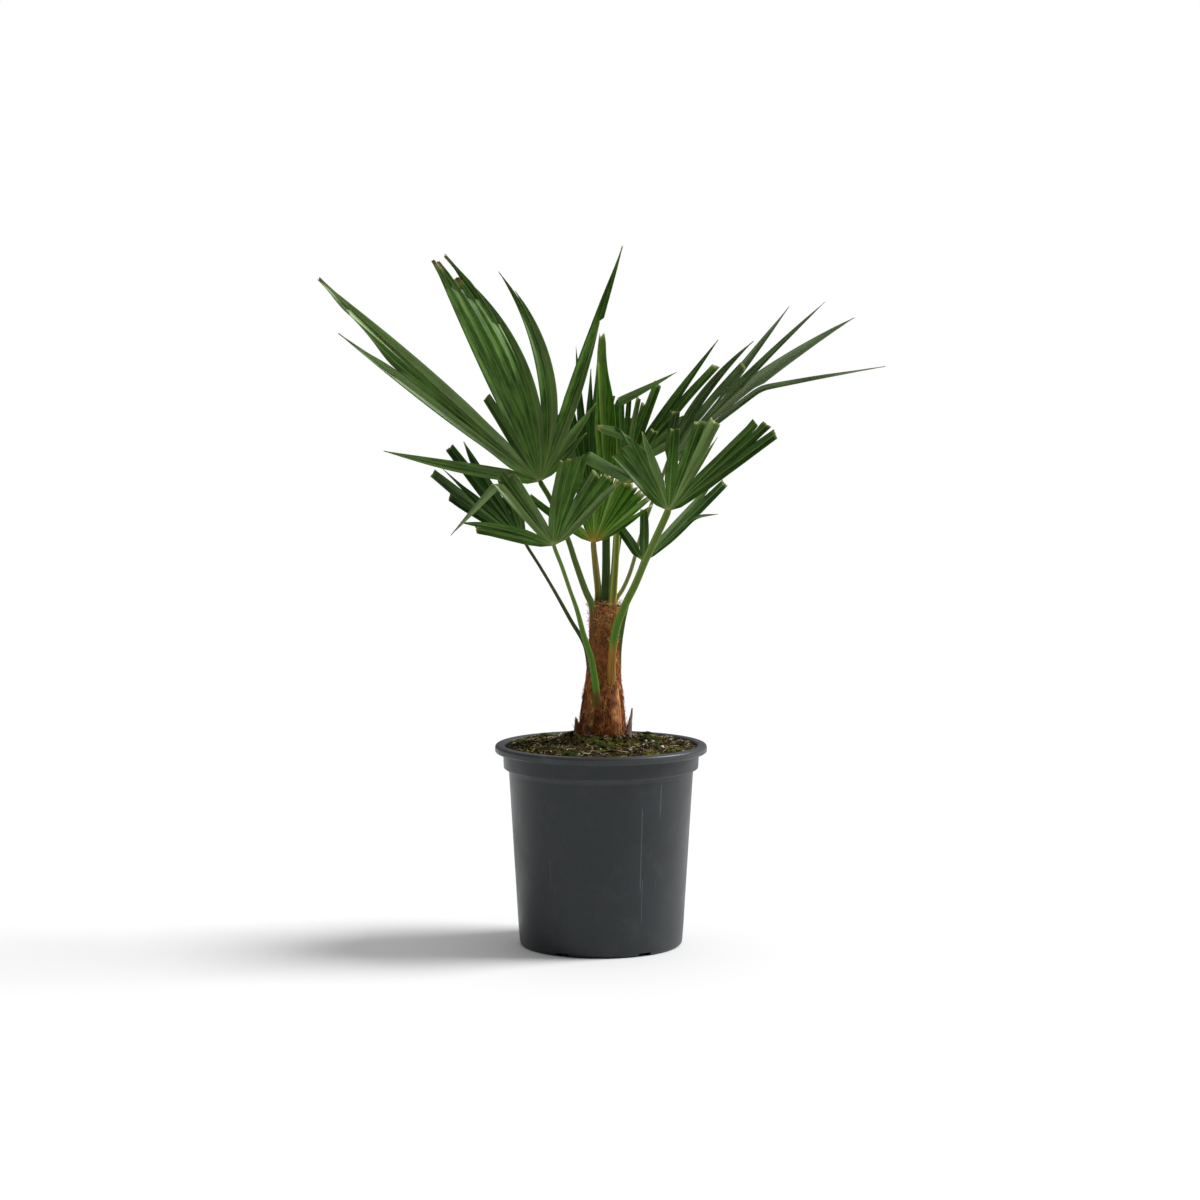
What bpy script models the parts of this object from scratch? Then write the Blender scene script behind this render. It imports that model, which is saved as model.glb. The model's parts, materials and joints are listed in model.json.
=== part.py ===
"""A young windmill palm in a round nursery pot. Metres, +Z up, the front faces -Y.

The origin is the centre of the pot's underside. Each leaf is a stalk and a pleated fan blade.
"""

from math import cos, pi, radians, sin

import bmesh
import bpy
from mathutils import Matrix, Vector

# ---- driving dimensions ----
GAP = 0.0003
POT_HEIGHT = 0.200
POT_RIM_RADIUS = 0.105
POT_BASE_RADIUS = 0.081
POT_WALL = 0.0018
LIP_HEIGHT = 0.008
COLLAR_RADIUS = 0.0965
SHOULDER_Z = 0.176
SHOULDER_STEP = 0.005
FOOT_RADIUS = 0.004
PAD_RADIUS = 0.032
RECESS_RADIUS = 0.060
RECESS_DEPTH = 0.003
SLOT_COUNT = 6
# through the wall, along it and up
SLOT_SIZE = (0.012, 0.014, 0.007)
SLOT_TURN = radians(-58)
HOLE_RADIUS = 0.006
HOLE_REACH = 0.047
ROUND_STEPS = 48

SOIL_EDGE_Z = 0.1935
SOIL_TOP_Z = 0.207
SOIL_FLOOR_Z = 0.0065
SOIL_GAP = 0.0006

TRUNK_FOOT_X = 0.001
TRUNK_LEAN = radians(1.4)
# height above the soil level and radius of the stem, from the root end up
TRUNK_OUTLINE = [(-0.035, 0.012), (-0.010, 0.0200), (0.0, 0.0225), (0.024, 0.0212), (0.040, 0.0190)]
TRUNK_OUTLINE += [(0.056, 0.0160), (0.075, 0.0148), (0.095, 0.0135)]
# heights of the fibre sheath's rings, from its top down
SHEATH_HEIGHTS = [0.133, 0.115, 0.095, 0.075, 0.056, 0.050]
SHEATH_WALL = 0.0008
CUTTER_TOP = 0.155
OLD_BASE_PROUD = 0.0004
OLD_BASE_TAPER = radians(6)

BLADE_THICKNESS = 0.0008
PLEAT = 0.22
FOLD_LENGTH = 0.010
ROOM_SHARE = 0.40
LAST_ROW = 1.35
LIFT_ROOM = 1.5
WEB_RADIUS = 0.012
ROW_PITCH = 0.030

POT_COLOUR = (0.030, 0.034, 0.040)
GREEN = (0.045, 0.115, 0.022)
DARK_GREEN = (0.022, 0.066, 0.016)
BRIGHT_GREEN = (0.070, 0.190, 0.030)


# A strap is (angle, length, width, join, bend, lift, end):
# angle in degrees from straight up in the fan's plane, clockwise as its face is seen; length and
# width; how far it is grown together with the next strap; its bend in degrees over its length;
# how far its tip stands out of the plane, per length; and its end, "tip", "cut" or a fold
# (distance, turn in degrees).
def strap(angle, length, width, join=0.0, bend=0.0, lift=0.0, end="tip"):
    return dict(angle=angle, length=length, width=width, join=join, bend=bend, lift=lift, end=end)


# facing is the azimuth of the blade's face from the front and its height, in degrees; stalk is
# the stalk's centre line from its foot, ending at the hub; girth its radius at foot and at hub.
LEAVES = {
    "leaf_01": dict(
        hub=(-0.059, -0.030, 0.461), facing=(0, 5), colour=GREEN, girth=(0.0042, 0.0026),
        stalk=[(-0.0085, -0.0100, 0.290), (-0.0085, -0.0130, 0.318), (-0.0095, -0.0140, 0.338),
               (-0.0155, -0.0160, 0.354), (-0.0255, -0.0200, 0.383), (-0.0330, -0.0235, 0.406),
               (-0.0490, -0.0280, 0.443)],
        straps=[
            strap(-80.5, 0.152, 0.013, 0.030, 2, 0.30),
            strap(-54.5, 0.238, 0.013, 0.170, 1, 0.22),
            strap(-51, 0.257, 0.016, 0.235, 1, 0.21),
            strap(-47.3, 0.285, 0.016, 0.020, -1, 0.20),
            strap(-33, 0.098, 0.012, 0.020, 0, -0.05, "cut"),
            strap(-23.5, 0.235, 0.017, 0.190, -5, 0.17),
            strap(-16, 0.233, 0.017, 0.190, -18, 0.14),
            strap(-9, 0.214, 0.016, 0.180, -27, 0.10),
            strap(-3, 0.243, 0.018, 0.160, -40, 0.05),
            strap(4.5, 0.221, 0.015, 0.030, -49, -0.02),
            strap(13.5, 0.218, 0.014, 0.130, -50, -0.08),
            strap(18.5, 0.198, 0.013, 0.020, -53, -0.10),
            strap(21.5, 0.247, 0.016, 0.035, -5, -0.12),
            strap(26, 0.169, 0.010, 0.025, -12, -0.14),
            strap(33, 0.095, 0.012, 0.020, 4, -0.10),
            strap(43, 0.066, 0.010, 0, 0, -0.12),
        ],
    ),
    "leaf_02": dict(
        hub=(-0.045, -0.100, 0.403), facing=(-6, 8), colour=GREEN, girth=(0.0048, 0.0024),
        stalk=[(-0.0050, -0.0170, 0.236), (-0.0050, -0.0210, 0.256), (-0.0095, -0.0240, 0.286),
               (-0.0170, -0.0360, 0.312), (-0.0233, -0.0520, 0.3375), (-0.0300, -0.0700, 0.3585),
               (-0.0373, -0.0880, 0.382)],
        straps=[
            strap(-79, 0.077, 0.009, 0.060, 2, -0.02, "cut"),
            strap(-67, 0.094, 0.011, 0.020, -19, -0.02),
            strap(-42.5, 0.148, 0.011, 0.070, 0, 0.07, (0.078, -96)),
            strap(-37, 0.087, 0.009, 0.072, 0, 0.0, "cut"),
            strap(-31, 0.080, 0.010, 0.020, 0, -0.01, "cut"),
            strap(-3, 0.082, 0.009, 0.060, 18, 0.0, "cut"),
            strap(6, 0.085, 0.010, 0.060, 10, 0.02, "cut"),
            strap(16, 0.148, 0.015, 0.050, 3, 0.06, (0.089, 100)),
            strap(29, 0.081, 0.012, 0.070, 0, -0.06, "cut"),
            strap(37, 0.084, 0.012, 0.070, 0, -0.08, "cut"),
            strap(45, 0.085, 0.010, 0, 0, -0.10),
        ],
    ),
    "leaf_03": dict(
        hub=(-0.076, 0.012, 0.400), facing=(-10, 5), colour=DARK_GREEN, girth=(0.0027, 0.0016),
        stalk=[(-0.0105, 0.0065, 0.268), (-0.0158, 0.0070, 0.297), (-0.0300, 0.0085, 0.322),
               (-0.0456, 0.0100, 0.350), (-0.0604, 0.0110, 0.375)],
        straps=[
            strap(-62, 0.092, 0.009, 0.070, 0, -0.22, "cut"),
            strap(-56, 0.120, 0.011, 0.060, 0, -0.20, "cut"),
            strap(-51, 0.118, 0.006, 0.050, 0, -0.22),
            strap(-41, 0.124, 0.012, 0.085, 0, -0.16, "cut"),
            strap(-34, 0.120, 0.011, 0.030, 0, -0.16),
            strap(-22, 0.066, 0.010, 0.040, 0, -0.10, "cut"),
            strap(-12, 0.060, 0.009, 0, 0, -0.05, "cut"),
        ],
    ),
    "leaf_04": dict(
        hub=(-0.007, -0.075, 0.404), facing=(4, 8), colour=BRIGHT_GREEN, girth=(0.0029, 0.0028),
        ring=(-0.0080, -0.0062),
        stalk=[(-0.0034, -0.0130, 0.353), (-0.0054, -0.0450, 0.376), (-0.0064, -0.0620, 0.390)],
        straps=[
            strap(-57, 0.076, 0.008, 0.014, 8, -0.10, "cut"),
            strap(-44, 0.028, 0.008, 0.014, 0, -0.05),
            strap(-22, 0.039, 0.006, 0.034, 0, 0.0),
            strap(-14, 0.046, 0.006, 0.040, 0, 0.0),
            strap(-6, 0.053, 0.007, 0.046, 0, 0.0),
            strap(1, 0.060, 0.007, 0.052, 0, 0.01),
            strap(8, 0.067, 0.007, 0.056, 0, 0.02),
            strap(15, 0.069, 0.008, 0.058, 0, 0.03),
            strap(22, 0.069, 0.008, 0.060, 0, 0.03),
            strap(29, 0.069, 0.008, 0.060, 0, 0.04),
            strap(36, 0.069, 0.008, 0.060, 0, 0.05),
            strap(43, 0.070, 0.008, 0.058, 2, 0.07),
            strap(50, 0.071, 0.007, 0.016, 6, 0.07),
            strap(60, 0.068, 0.007, 0, -6, -0.05),
        ],
    ),
    "leaf_05": dict(
        hub=(0.064, -0.100, 0.436), facing=(8, 8), colour=GREEN, girth=(0.0052, 0.0044),
        stalk=[(0.0105, -0.0170, 0.265), (0.0110, -0.0195, 0.288), (0.0150, -0.0270, 0.318),
               (0.0234, -0.0380, 0.341), (0.0330, -0.0520, 0.362), (0.0424, -0.0680, 0.386),
               (0.0517, -0.0850, 0.408)],
        straps=[
            strap(-43, 0.074, 0.012, 0.060, 0, 0.02, "cut"),
            strap(-35, 0.075, 0.012, 0.066, 0, 0.02, "cut"),
            strap(-27, 0.114, 0.014, 0.050, 0, 0.05, (0.075, -46)),
            strap(-17, 0.081, 0.010, 0.020, 0, 0.01),
            strap(5, 0.079, 0.012, 0.022, 0, 0.03, "cut"),
            strap(21, 0.093, 0.014, 0.085, 0, -0.06, "cut"),
            strap(29, 0.099, 0.014, 0.024, 0, -0.06, "cut"),
            strap(35, 0.087, 0.006, 0.020, 0, -0.05),
            strap(45.5, 0.118, 0.011, 0.108, 0, 0.12, "cut"),
            strap(49.5, 0.124, 0.011, 0.066, 0, 0.14, "cut"),
            strap(55, 0.124, 0.012, 0, 0, 0.16, "cut"),
        ],
    ),
    "leaf_06": dict(
        hub=(0.041, -0.048, 0.384), facing=(12, 6), colour=DARK_GREEN, girth=(0.0036, 0.0022),
        stalk=[(0.0160, -0.0010, 0.262), (0.0175, -0.0030, 0.293), (0.0205, -0.0090, 0.316),
               (0.0250, -0.0200, 0.338), (0.0325, -0.0340, 0.361)],
        straps=[
            strap(-33, 0.039, 0.010, 0.014, 0, -0.04, "cut"),
            strap(3, 0.051, 0.009, 0.014, 0, -0.03, "cut"),
            strap(43.5, 0.109, 0.009, 0.080, 0, -0.12),
            strap(48.5, 0.116, 0.010, 0.060, 0, -0.14, "cut"),
            strap(53.3, 0.096, 0.006, 0, -4, -0.24, (0.070, 34)),
        ],
    ),
    "leaf_07": dict(
        hub=(0.0655, 0.022, 0.478), facing=(-8, 12), colour=DARK_GREEN, girth=(0.0028, 0.0022),
        ring=(0.0095, 0.0020),
        stalk=[(0.0220, 0.0040, 0.354), (0.0297, 0.0070, 0.372), (0.0396, 0.0120, 0.406),
               (0.0490, 0.0160, 0.434)],
        straps=[
            strap(9, 0.052, 0.011, 0.020, 0, -0.05, "cut"),
            strap(20, 0.150, 0.011, 0.022, 28, -0.03),
            strap(34.5, 0.121, 0.014, 0.050, 9, 0.05, "cut"),
            strap(38.3, 0.199, 0.011, 0.080, -5, -0.09),
            strap(40.7, 0.228, 0.009, 0.100, 2, -0.15),
            strap(43, 0.238, 0.016, 0.060, 14, -0.12),
            strap(49.7, 0.243, 0.007, 0.022, 0, -0.22, (0.118, 26)),
            strap(66, 0.045, 0.009, 0, 0, -0.05, "cut"),
        ],
    ),
    "leaf_08": dict(
        hub=(0.005, -0.005, 0.440), facing=(0, 8), colour=BRIGHT_GREEN, girth=(0.0031, 0.0026),
        ring=(-0.0003, -0.0085),
        stalk=[(0.0050, -0.0078, 0.372), (0.0050, -0.0070, 0.406)],
        straps=[
            strap(-7.2, 0.139, 0.009, 0.138, 4, 0.03),
            strap(-2.8, 0.167, 0.010, 0.154, 2, 0.0),
            strap(1.8, 0.154, 0.010, 0.130, 0, 0.0),
            strap(5.4, 0.130, 0.009, 0.096, -2, 0.02),
            strap(9.2, 0.100, 0.009, 0, -2, 0.04),
        ],
    ),
    "leaf_09": dict(
        hub=(0.021, 0.040, 0.4595), facing=(5, 8), colour=GREEN, girth=(0.0036, 0.0026),
        ring=(0.0070, -0.0055),
        stalk=[(0.0140, 0.0070, 0.380), (0.0160, 0.0200, 0.411)],
        straps=[
            strap(-6, 0.148, 0.012, 0.030, 0, 0.06, (0.072, 69)),
            strap(0, 0.080, 0.006, 0.030, 0, 0.0, "cut"),
            strap(6, 0.082, 0.006, 0.030, 0, -0.04, "cut"),
            strap(12, 0.084, 0.006, 0.030, 0, 0.0, "cut"),
            strap(20, 0.105, 0.011, 0.030, 2, -0.08, "cut"),
            strap(34, 0.060, 0.010, 0, 0, -0.04, "cut"),
        ],
    ),
    "leaf_10": dict(
        hub=(-0.012, 0.049, 0.437), facing=(-8, 10), colour=DARK_GREEN, girth=(0.0032, 0.0022),
        ring=(-0.0052, 0.0081),
        stalk=[(-0.0040, 0.0220, 0.370), (-0.0085, 0.0370, 0.406)],
        straps=[
            strap(-38, 0.070, 0.011, 0.030, 0, -0.16, "cut"),
            strap(-28, 0.086, 0.011, 0.040, 0, -0.14, "cut"),
            strap(-20, 0.098, 0.010, 0.050, 0, -0.14, "cut"),
            strap(-13.2, 0.111, 0.010, 0.060, 0, -0.12, "cut"),
            strap(-7.1, 0.162, 0.009, 0.070, 0, -0.12),
            strap(-1.5, 0.137, 0.010, 0.080, 0, -0.10),
            strap(3.9, 0.154, 0.009, 0.070, -6, -0.12),
            strap(10, 0.110, 0.010, 0.050, 0, -0.10, "cut"),
            strap(19, 0.092, 0.012, 0.040, 0, -0.10, "cut"),
            strap(30, 0.074, 0.011, 0, 0, -0.10, "cut"),
        ],
    ),
    "leaf_11": dict(
        hub=(0.032, 0.078, 0.476), facing=(-12, 12), colour=GREEN, girth=(0.0034, 0.0024),
        ring=(0.0035, 0.0086),
        stalk=[(0.0150, 0.0330, 0.382), (0.0240, 0.0580, 0.435)],
        straps=[
            strap(-25, 0.052, 0.010, 0.025, 0, -0.04, "cut"),
            strap(-8, 0.045, 0.010, 0.025, 0, 0.0, "cut"),
            strap(10, 0.060, 0.010, 0.030, 0, 0.0, "cut"),
            strap(31.2, 0.152, 0.010, 0.060, 0, -0.14),
            strap(37.5, 0.129, 0.010, 0.050, 0, -0.14, "cut"),
            strap(50, 0.072, 0.016, 0.040, 0, -0.12, "cut"),
            strap(63, 0.056, 0.010, 0, 0, -0.14, "cut"),
        ],
    ),
}
SPEAR = dict(ring=(0.0, 0.0003), tip=(0.0095, 0.0130, 0.462), girth=0.0030)

# azimuth from the front in degrees, length, width and lean outwards in degrees
OLD_BASES = [
    (38, 0.050, 0.014, 1), (82, 0.026, 0.010, 15), (-76, 0.018, 0.012, 14), (-36, 0.014, 0.011, 14),
    (-124, 0.040, 0.014, 1), (140, 0.046, 0.014, 1), (-174, 0.034, 0.013, 4),
]
# azimuth in degrees, distance from the middle, radius, height
MOSS = [
    (2, 0.046, 0.011, 0.0042), (52, 0.066, 0.009, 0.0036), (95, 0.050, 0.010, 0.0040),
    (140, 0.072, 0.008, 0.0034), (186, 0.056, 0.011, 0.0044), (228, 0.074, 0.009, 0.0036),
    (-48, 0.062, 0.010, 0.0040), (-82, 0.080, 0.008, 0.0034), (-22, 0.078, 0.008, 0.0032),
]


# ---- scene and small helpers ----
def clear_scene():
    for obj in list(bpy.data.objects):
        bpy.data.objects.remove(obj)


def collection(name, hidden=False):
    made = bpy.data.collections.new(name)
    made.hide_render = hidden
    bpy.context.scene.collection.children.link(made)
    return made


def material(name, colour, roughness):
    made = bpy.data.materials.new(name)
    made.use_nodes = True
    shader = made.node_tree.nodes["Principled BSDF"]
    shader.inputs["Base Color"].default_value = (*colour, 1)
    shader.inputs["Roughness"].default_value = roughness
    made.diffuse_color = (*colour, 1)
    return made


def new_object(name, data, home, finish=None):
    obj = bpy.data.objects.new(name, data)
    home.objects.link(obj)
    if finish:
        data.materials.append(finish)
    if home.hide_render:
        obj.hide_render = True
        obj.display_type = "WIRE"
    return obj


def smooth(obj):
    for face in obj.data.polygons:
        face.use_smooth = True
    return obj


def mesh_of(bm, name):
    mesh = bpy.data.meshes.new(name)
    bm.to_mesh(mesh)
    bm.free()
    return mesh


def turned(name, profile, home, finish=None, steps=ROUND_STEPS):
    """Turns a closed outline of (radius, z) round Z. It runs down on its outer side."""
    bm = bmesh.new()
    points = [bm.verts.new((radius, 0, z)) for radius, z in profile]
    for i, one in enumerate(points):
        if profile[i][0] > 0 or profile[i - 1][0] > 0:
            bm.edges.new((points[i - 1], one))
    obj = new_object(name, mesh_of(bm, name), home, finish)
    turn = obj.modifiers.new("Turn", "SCREW")
    turn.steps = turn.render_steps = steps
    turn.use_merge_vertices = True
    turn.merge_threshold = 0.00005
    turn.use_smooth_shade = True
    return obj


def subtract(obj, cutter, name="Cut"):
    cut = obj.modifiers.new(name, "BOOLEAN")
    cut.operation = "DIFFERENCE"
    cut.solver = "EXACT"
    cut.object = cutter


def arc(centre, radius, start, end, count):
    """Points on an arc of (radius, z), its angles in degrees from outward."""
    angles = [radians(start + (end - start) * i / count) for i in range(count + 1)]
    return [(centre[0] + radius * cos(a), centre[1] + radius * sin(a)) for a in angles]


def along(points, count):
    """Evenly numbered points on a smooth curve through the given ones."""
    ends = [points[0] * 2 - points[1]] + points + [points[-1] * 2 - points[-2]]
    found = []
    for i in range(count + 1):
        place = min(i / count * (len(points) - 1), len(points) - 1.000001)
        k, t = int(place), place - int(place)
        a, b, c, d = ends[k : k + 4]
        found.append(
            0.5 * (2 * b + (c - a) * t + (2 * a - 5 * b + 4 * c - d) * t**2
                   + (3 * b - a - 3 * c + d) * t**3)
        )
    return found


# ---- pot and soil ----
def wall_radius(z):
    """Outer radius of the plain wall below the shoulder."""
    top = COLLAR_RADIUS - SHOULDER_STEP
    return POT_BASE_RADIUS + (top - POT_BASE_RADIUS) * z / SHOULDER_Z


def pot_outline():
    lip_z = POT_HEIGHT - LIP_HEIGHT / 2
    inner_rim = COLLAR_RADIUS + 0.0005 - POT_WALL
    outline = [(inner_rim, SHOULDER_Z + 0.004), (inner_rim + 0.0008, lip_z)]
    outline += arc((COLLAR_RADIUS + 0.0015, lip_z + 0.0010), 0.0030, 170, 90, 2)
    outline += arc((POT_RIM_RADIUS - 0.0030, lip_z + 0.0010), 0.0030, 90, 0, 3)
    outline += arc((POT_RIM_RADIUS - 0.0025, lip_z - 0.0015), 0.0025, 0, -90, 2)
    outline += [(COLLAR_RADIUS + 0.0006, lip_z - 0.0040), (COLLAR_RADIUS, SHOULDER_Z + 0.0015)]
    outline += [(COLLAR_RADIUS - 0.0008, SHOULDER_Z), (wall_radius(SHOULDER_Z), SHOULDER_Z - 0.001)]
    outline += [(wall_radius(0.09), 0.09)]
    outline += arc((POT_BASE_RADIUS - FOOT_RADIUS, FOOT_RADIUS), FOOT_RADIUS, 0, -90, 3)
    outline += [(RECESS_RADIUS + 0.002, 0), (RECESS_RADIUS, RECESS_DEPTH)]
    outline += [(PAD_RADIUS + 0.002, RECESS_DEPTH), (PAD_RADIUS, 0), (0, 0)]
    floor_z = RECESS_DEPTH + POT_WALL
    outline += [(0, floor_z), (wall_radius(0) - 0.006, floor_z)]
    outline += [(wall_radius(0.012) - POT_WALL, 0.012)]
    outline += [(wall_radius(SHOULDER_Z) - POT_WALL, SHOULDER_Z - 0.003)]
    return outline


def make_pot(home, cutters):
    """The pot, with drain slots through the foot of its wall and drain holes in its floor."""
    pot = turned("nursery_pot", pot_outline(), home, material("pot_plastic", POT_COLOUR, 0.42))
    drains = bmesh.new()
    for i in range(SLOT_COUNT):
        around = Matrix.Rotation(SLOT_TURN + i * 2 * pi / SLOT_COUNT, 4, "Z")
        place = around @ Matrix.Translation((POT_BASE_RADIUS - 0.002, 0, 0))
        bmesh.ops.create_cube(drains, size=1, matrix=place @ Matrix.Diagonal((*SLOT_SIZE, 1)))
        bmesh.ops.create_cone(
            drains, cap_ends=True, segments=12, radius1=HOLE_RADIUS, radius2=HOLE_RADIUS,
            depth=0.012, matrix=around @ Matrix.Translation((HOLE_REACH, 0, 0.004)),
        )
    subtract(pot, new_object("drain_cutter", mesh_of(drains, "drain_cutter"), cutters), "Drains")


def soil_top(radius, lift=0.0):
    """Height of the soil at this distance from the middle."""
    reach = min(radius / 0.09, 1)
    return SOIL_EDGE_Z + (SOIL_TOP_Z - SOIL_EDGE_Z) * (1 - reach**2) + lift


def soil_outline(grow):
    edge = wall_radius(SHOULDER_Z) - POT_WALL - SOIL_GAP - 0.0008
    outline = [(0, soil_top(0, grow))]
    outline += [(r, soil_top(r, grow)) for r in (0.030, 0.055, 0.075, edge)]
    if not grow:
        low = wall_radius(0.012) - POT_WALL - SOIL_GAP
        outline += [(edge - 0.0004, SHOULDER_Z - 0.006), (low, 0.014)]
        outline += [(low - 0.006, SOIL_FLOOR_Z), (0, SOIL_FLOOR_Z)]
    else:
        outline += [(edge + 0.02, soil_top(edge, grow)), (edge + 0.02, 0.15), (0, 0.15)]
    return outline


# ---- trunk ----
def stem_radius(height):
    for (z1, r1), (z2, r2) in zip(TRUNK_OUTLINE, TRUNK_OUTLINE[1:]):
        if height <= z2:
            return r1 + (r2 - r1) * (height - z1) / (z2 - z1)
    return TRUNK_OUTLINE[-1][1]


def lean(obj):
    """Stands an object, modelled above the soil level, on the leaning stem's axis."""
    obj.location = (TRUNK_FOOT_X, 0, SOIL_TOP_Z)
    obj.rotation_euler = (0, TRUNK_LEAN, 0)
    return obj


def make_trunk(home, cutters):
    bark = material("trunk_bark", (0.115, 0.052, 0.026), 0.9)
    outline = [(0, TRUNK_OUTLINE[-1][0])] + [(r, z) for z, r in reversed(TRUNK_OUTLINE)]
    outline += [(0, TRUNK_OUTLINE[0][0])]
    lean(turned("trunk", outline, home, bark, 24))
    sleeve = SHEATH_WALL + 2 * GAP
    grown = [(0, CUTTER_TOP), (stem_radius(CUTTER_TOP) + sleeve, CUTTER_TOP)]
    grown += [(stem_radius(z) + sleeve, z) for z in SHEATH_HEIGHTS]
    grown += [(stem_radius(SHEATH_HEIGHTS[-1]) + sleeve, SHEATH_HEIGHTS[-1] - GAP)]
    grown += [(r + GAP, z) for z, r in reversed(TRUNK_OUTLINE) if z < SHEATH_HEIGHTS[-1]]
    grown += [(0, TRUNK_OUTLINE[0][0] - GAP)]
    return lean(turned("stem_cutter", grown, cutters, steps=24))


def make_sheath(home):
    """The woven fibre sleeve round the top of the stem, open in the middle for the stalks."""
    fibre = material("sheath_fibre", (0.24, 0.115, 0.050), 0.95)
    inside = [(stem_radius(z) + GAP, z) for z in SHEATH_HEIGHTS]
    outside = [(stem_radius(z) + GAP + SHEATH_WALL, z) for z in SHEATH_HEIGHTS]
    return lean(turned("fibre_sheath", inside[::-1] + outside, home, fibre, 24))


def make_old_bases(home, stem_cutter, soil_cutter):
    boot = material("old_base_bark", (0.20, 0.080, 0.030), 0.7)
    for number, (azimuth, length, width, tilt) in enumerate(OLD_BASES, 1):
        bm = bmesh.new()
        bmesh.ops.create_cone(
            bm, cap_ends=True, segments=10, radius1=width * 0.62, radius2=width * 0.40,
            depth=length + 0.008, matrix=Matrix.Translation((0, 0, length / 2 - 0.004)),
        )
        bmesh.ops.scale(bm, vec=(1, 0.50, 1), verts=bm.verts)
        around = Matrix.Rotation(radians(azimuth), 4, "Z")
        out = Matrix.Translation((TRUNK_FOOT_X, 0, SOIL_TOP_Z)) @ around
        out = out @ Matrix.Translation((0, -stem_radius(0) - OLD_BASE_PROUD, 0))
        leaning = Matrix.Rotation(radians(tilt) - OLD_BASE_TAPER, 4, "X")
        bmesh.ops.transform(bm, matrix=out @ leaning, verts=bm.verts)
        obj = new_object(f"old_leaf_base_{number}", mesh_of(bm, "old_leaf_base"), home, boot)
        subtract(obj, stem_cutter, "Stem")
        subtract(obj, soil_cutter, "Soil")


# ---- leaves ----
def fan_axes(facing):
    """Right, up and face direction of a fan, as its face is seen."""
    azimuth, height = (radians(a) for a in facing)
    right = Vector((cos(azimuth), sin(azimuth), 0))
    face = Vector((sin(azimuth) * cos(height), -cos(azimuth) * cos(height), sin(height)))
    return right, face.cross(right), face


def half_width(piece, share):
    """A free strap's half width at this share of its length."""
    full = piece["width"] / 2 * min(1, 0.55 + share * 1.3)
    if piece["end"] == "cut":
        return full * (1 - 0.12 * share**3)
    taper = max(0, (share - 0.40) / 0.60)
    return full * (1 - taper**1.5)


def centre_line(piece, rows):
    """(place, left) in the fan's plane, with the third value out of it, for each distance."""
    steps = 60
    x = y = 0.0
    found = []
    length = piece["length"]
    fold = piece["end"] if isinstance(piece["end"], tuple) else None
    waiting = list(rows)
    for i in range(steps + 1):
        gone = length * i / steps
        turn = radians(piece["angle"] + piece["bend"] * gone / length)
        out = piece["lift"] * length * (gone / length) ** 2
        if fold:
            share = min(max((gone - fold[0]) / FOLD_LENGTH + 0.5, 0), 1)
            turn += radians(fold[1]) * share**2 * (3 - 2 * share)
            out += 0.0025 * share
        while waiting and gone >= waiting[0] - length / steps / 2:
            found.append((Vector((x, y, out)), Vector((-cos(turn), sin(turn), 0))))
            waiting.pop(0)
        x += sin(turn) * length / steps
        y += cos(turn) * length / steps
    return found


def room_beside(piece, line, distances, beside):
    """Half the width left for this strap at each distance, next to the strap beside it."""
    reach = beside["length"]
    for strip in (piece, beside):
        if isinstance(strip["end"], tuple):
            reach = min(reach, strip["end"][0] - FOLD_LENGTH / 2)
    near = centre_line(beside, [d for d in distances if d <= reach])
    room = []
    for (place, _), (other, _) in zip(line, near):
        gap = other - place
        room.append(ROOM_SHARE * Vector((gap.x, gap.y, LIFT_ROOM * gap.z)).length)
    return room + [1.0] * (len(line) - len(room))


def rows_of(piece):
    """Distances of this strap's rows from the hub, and how many of them every strap has."""
    fold = isinstance(piece["end"], tuple)
    straight = piece["end"][0] - FOLD_LENGTH / 2 if fold else piece["length"]
    rows = [WEB_RADIUS]
    while rows[-1] + ROW_PITCH * LAST_ROW <= straight:
        rows.append(rows[-1] + ROW_PITCH)
    rest = piece["length"] - rows[-1]
    count = max(1, round(rest / (FOLD_LENGTH if fold else ROW_PITCH * LAST_ROW)))
    return rows + [rows[-1] + rest * (i + 1) / count for i in range(count)], len(rows)


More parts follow.
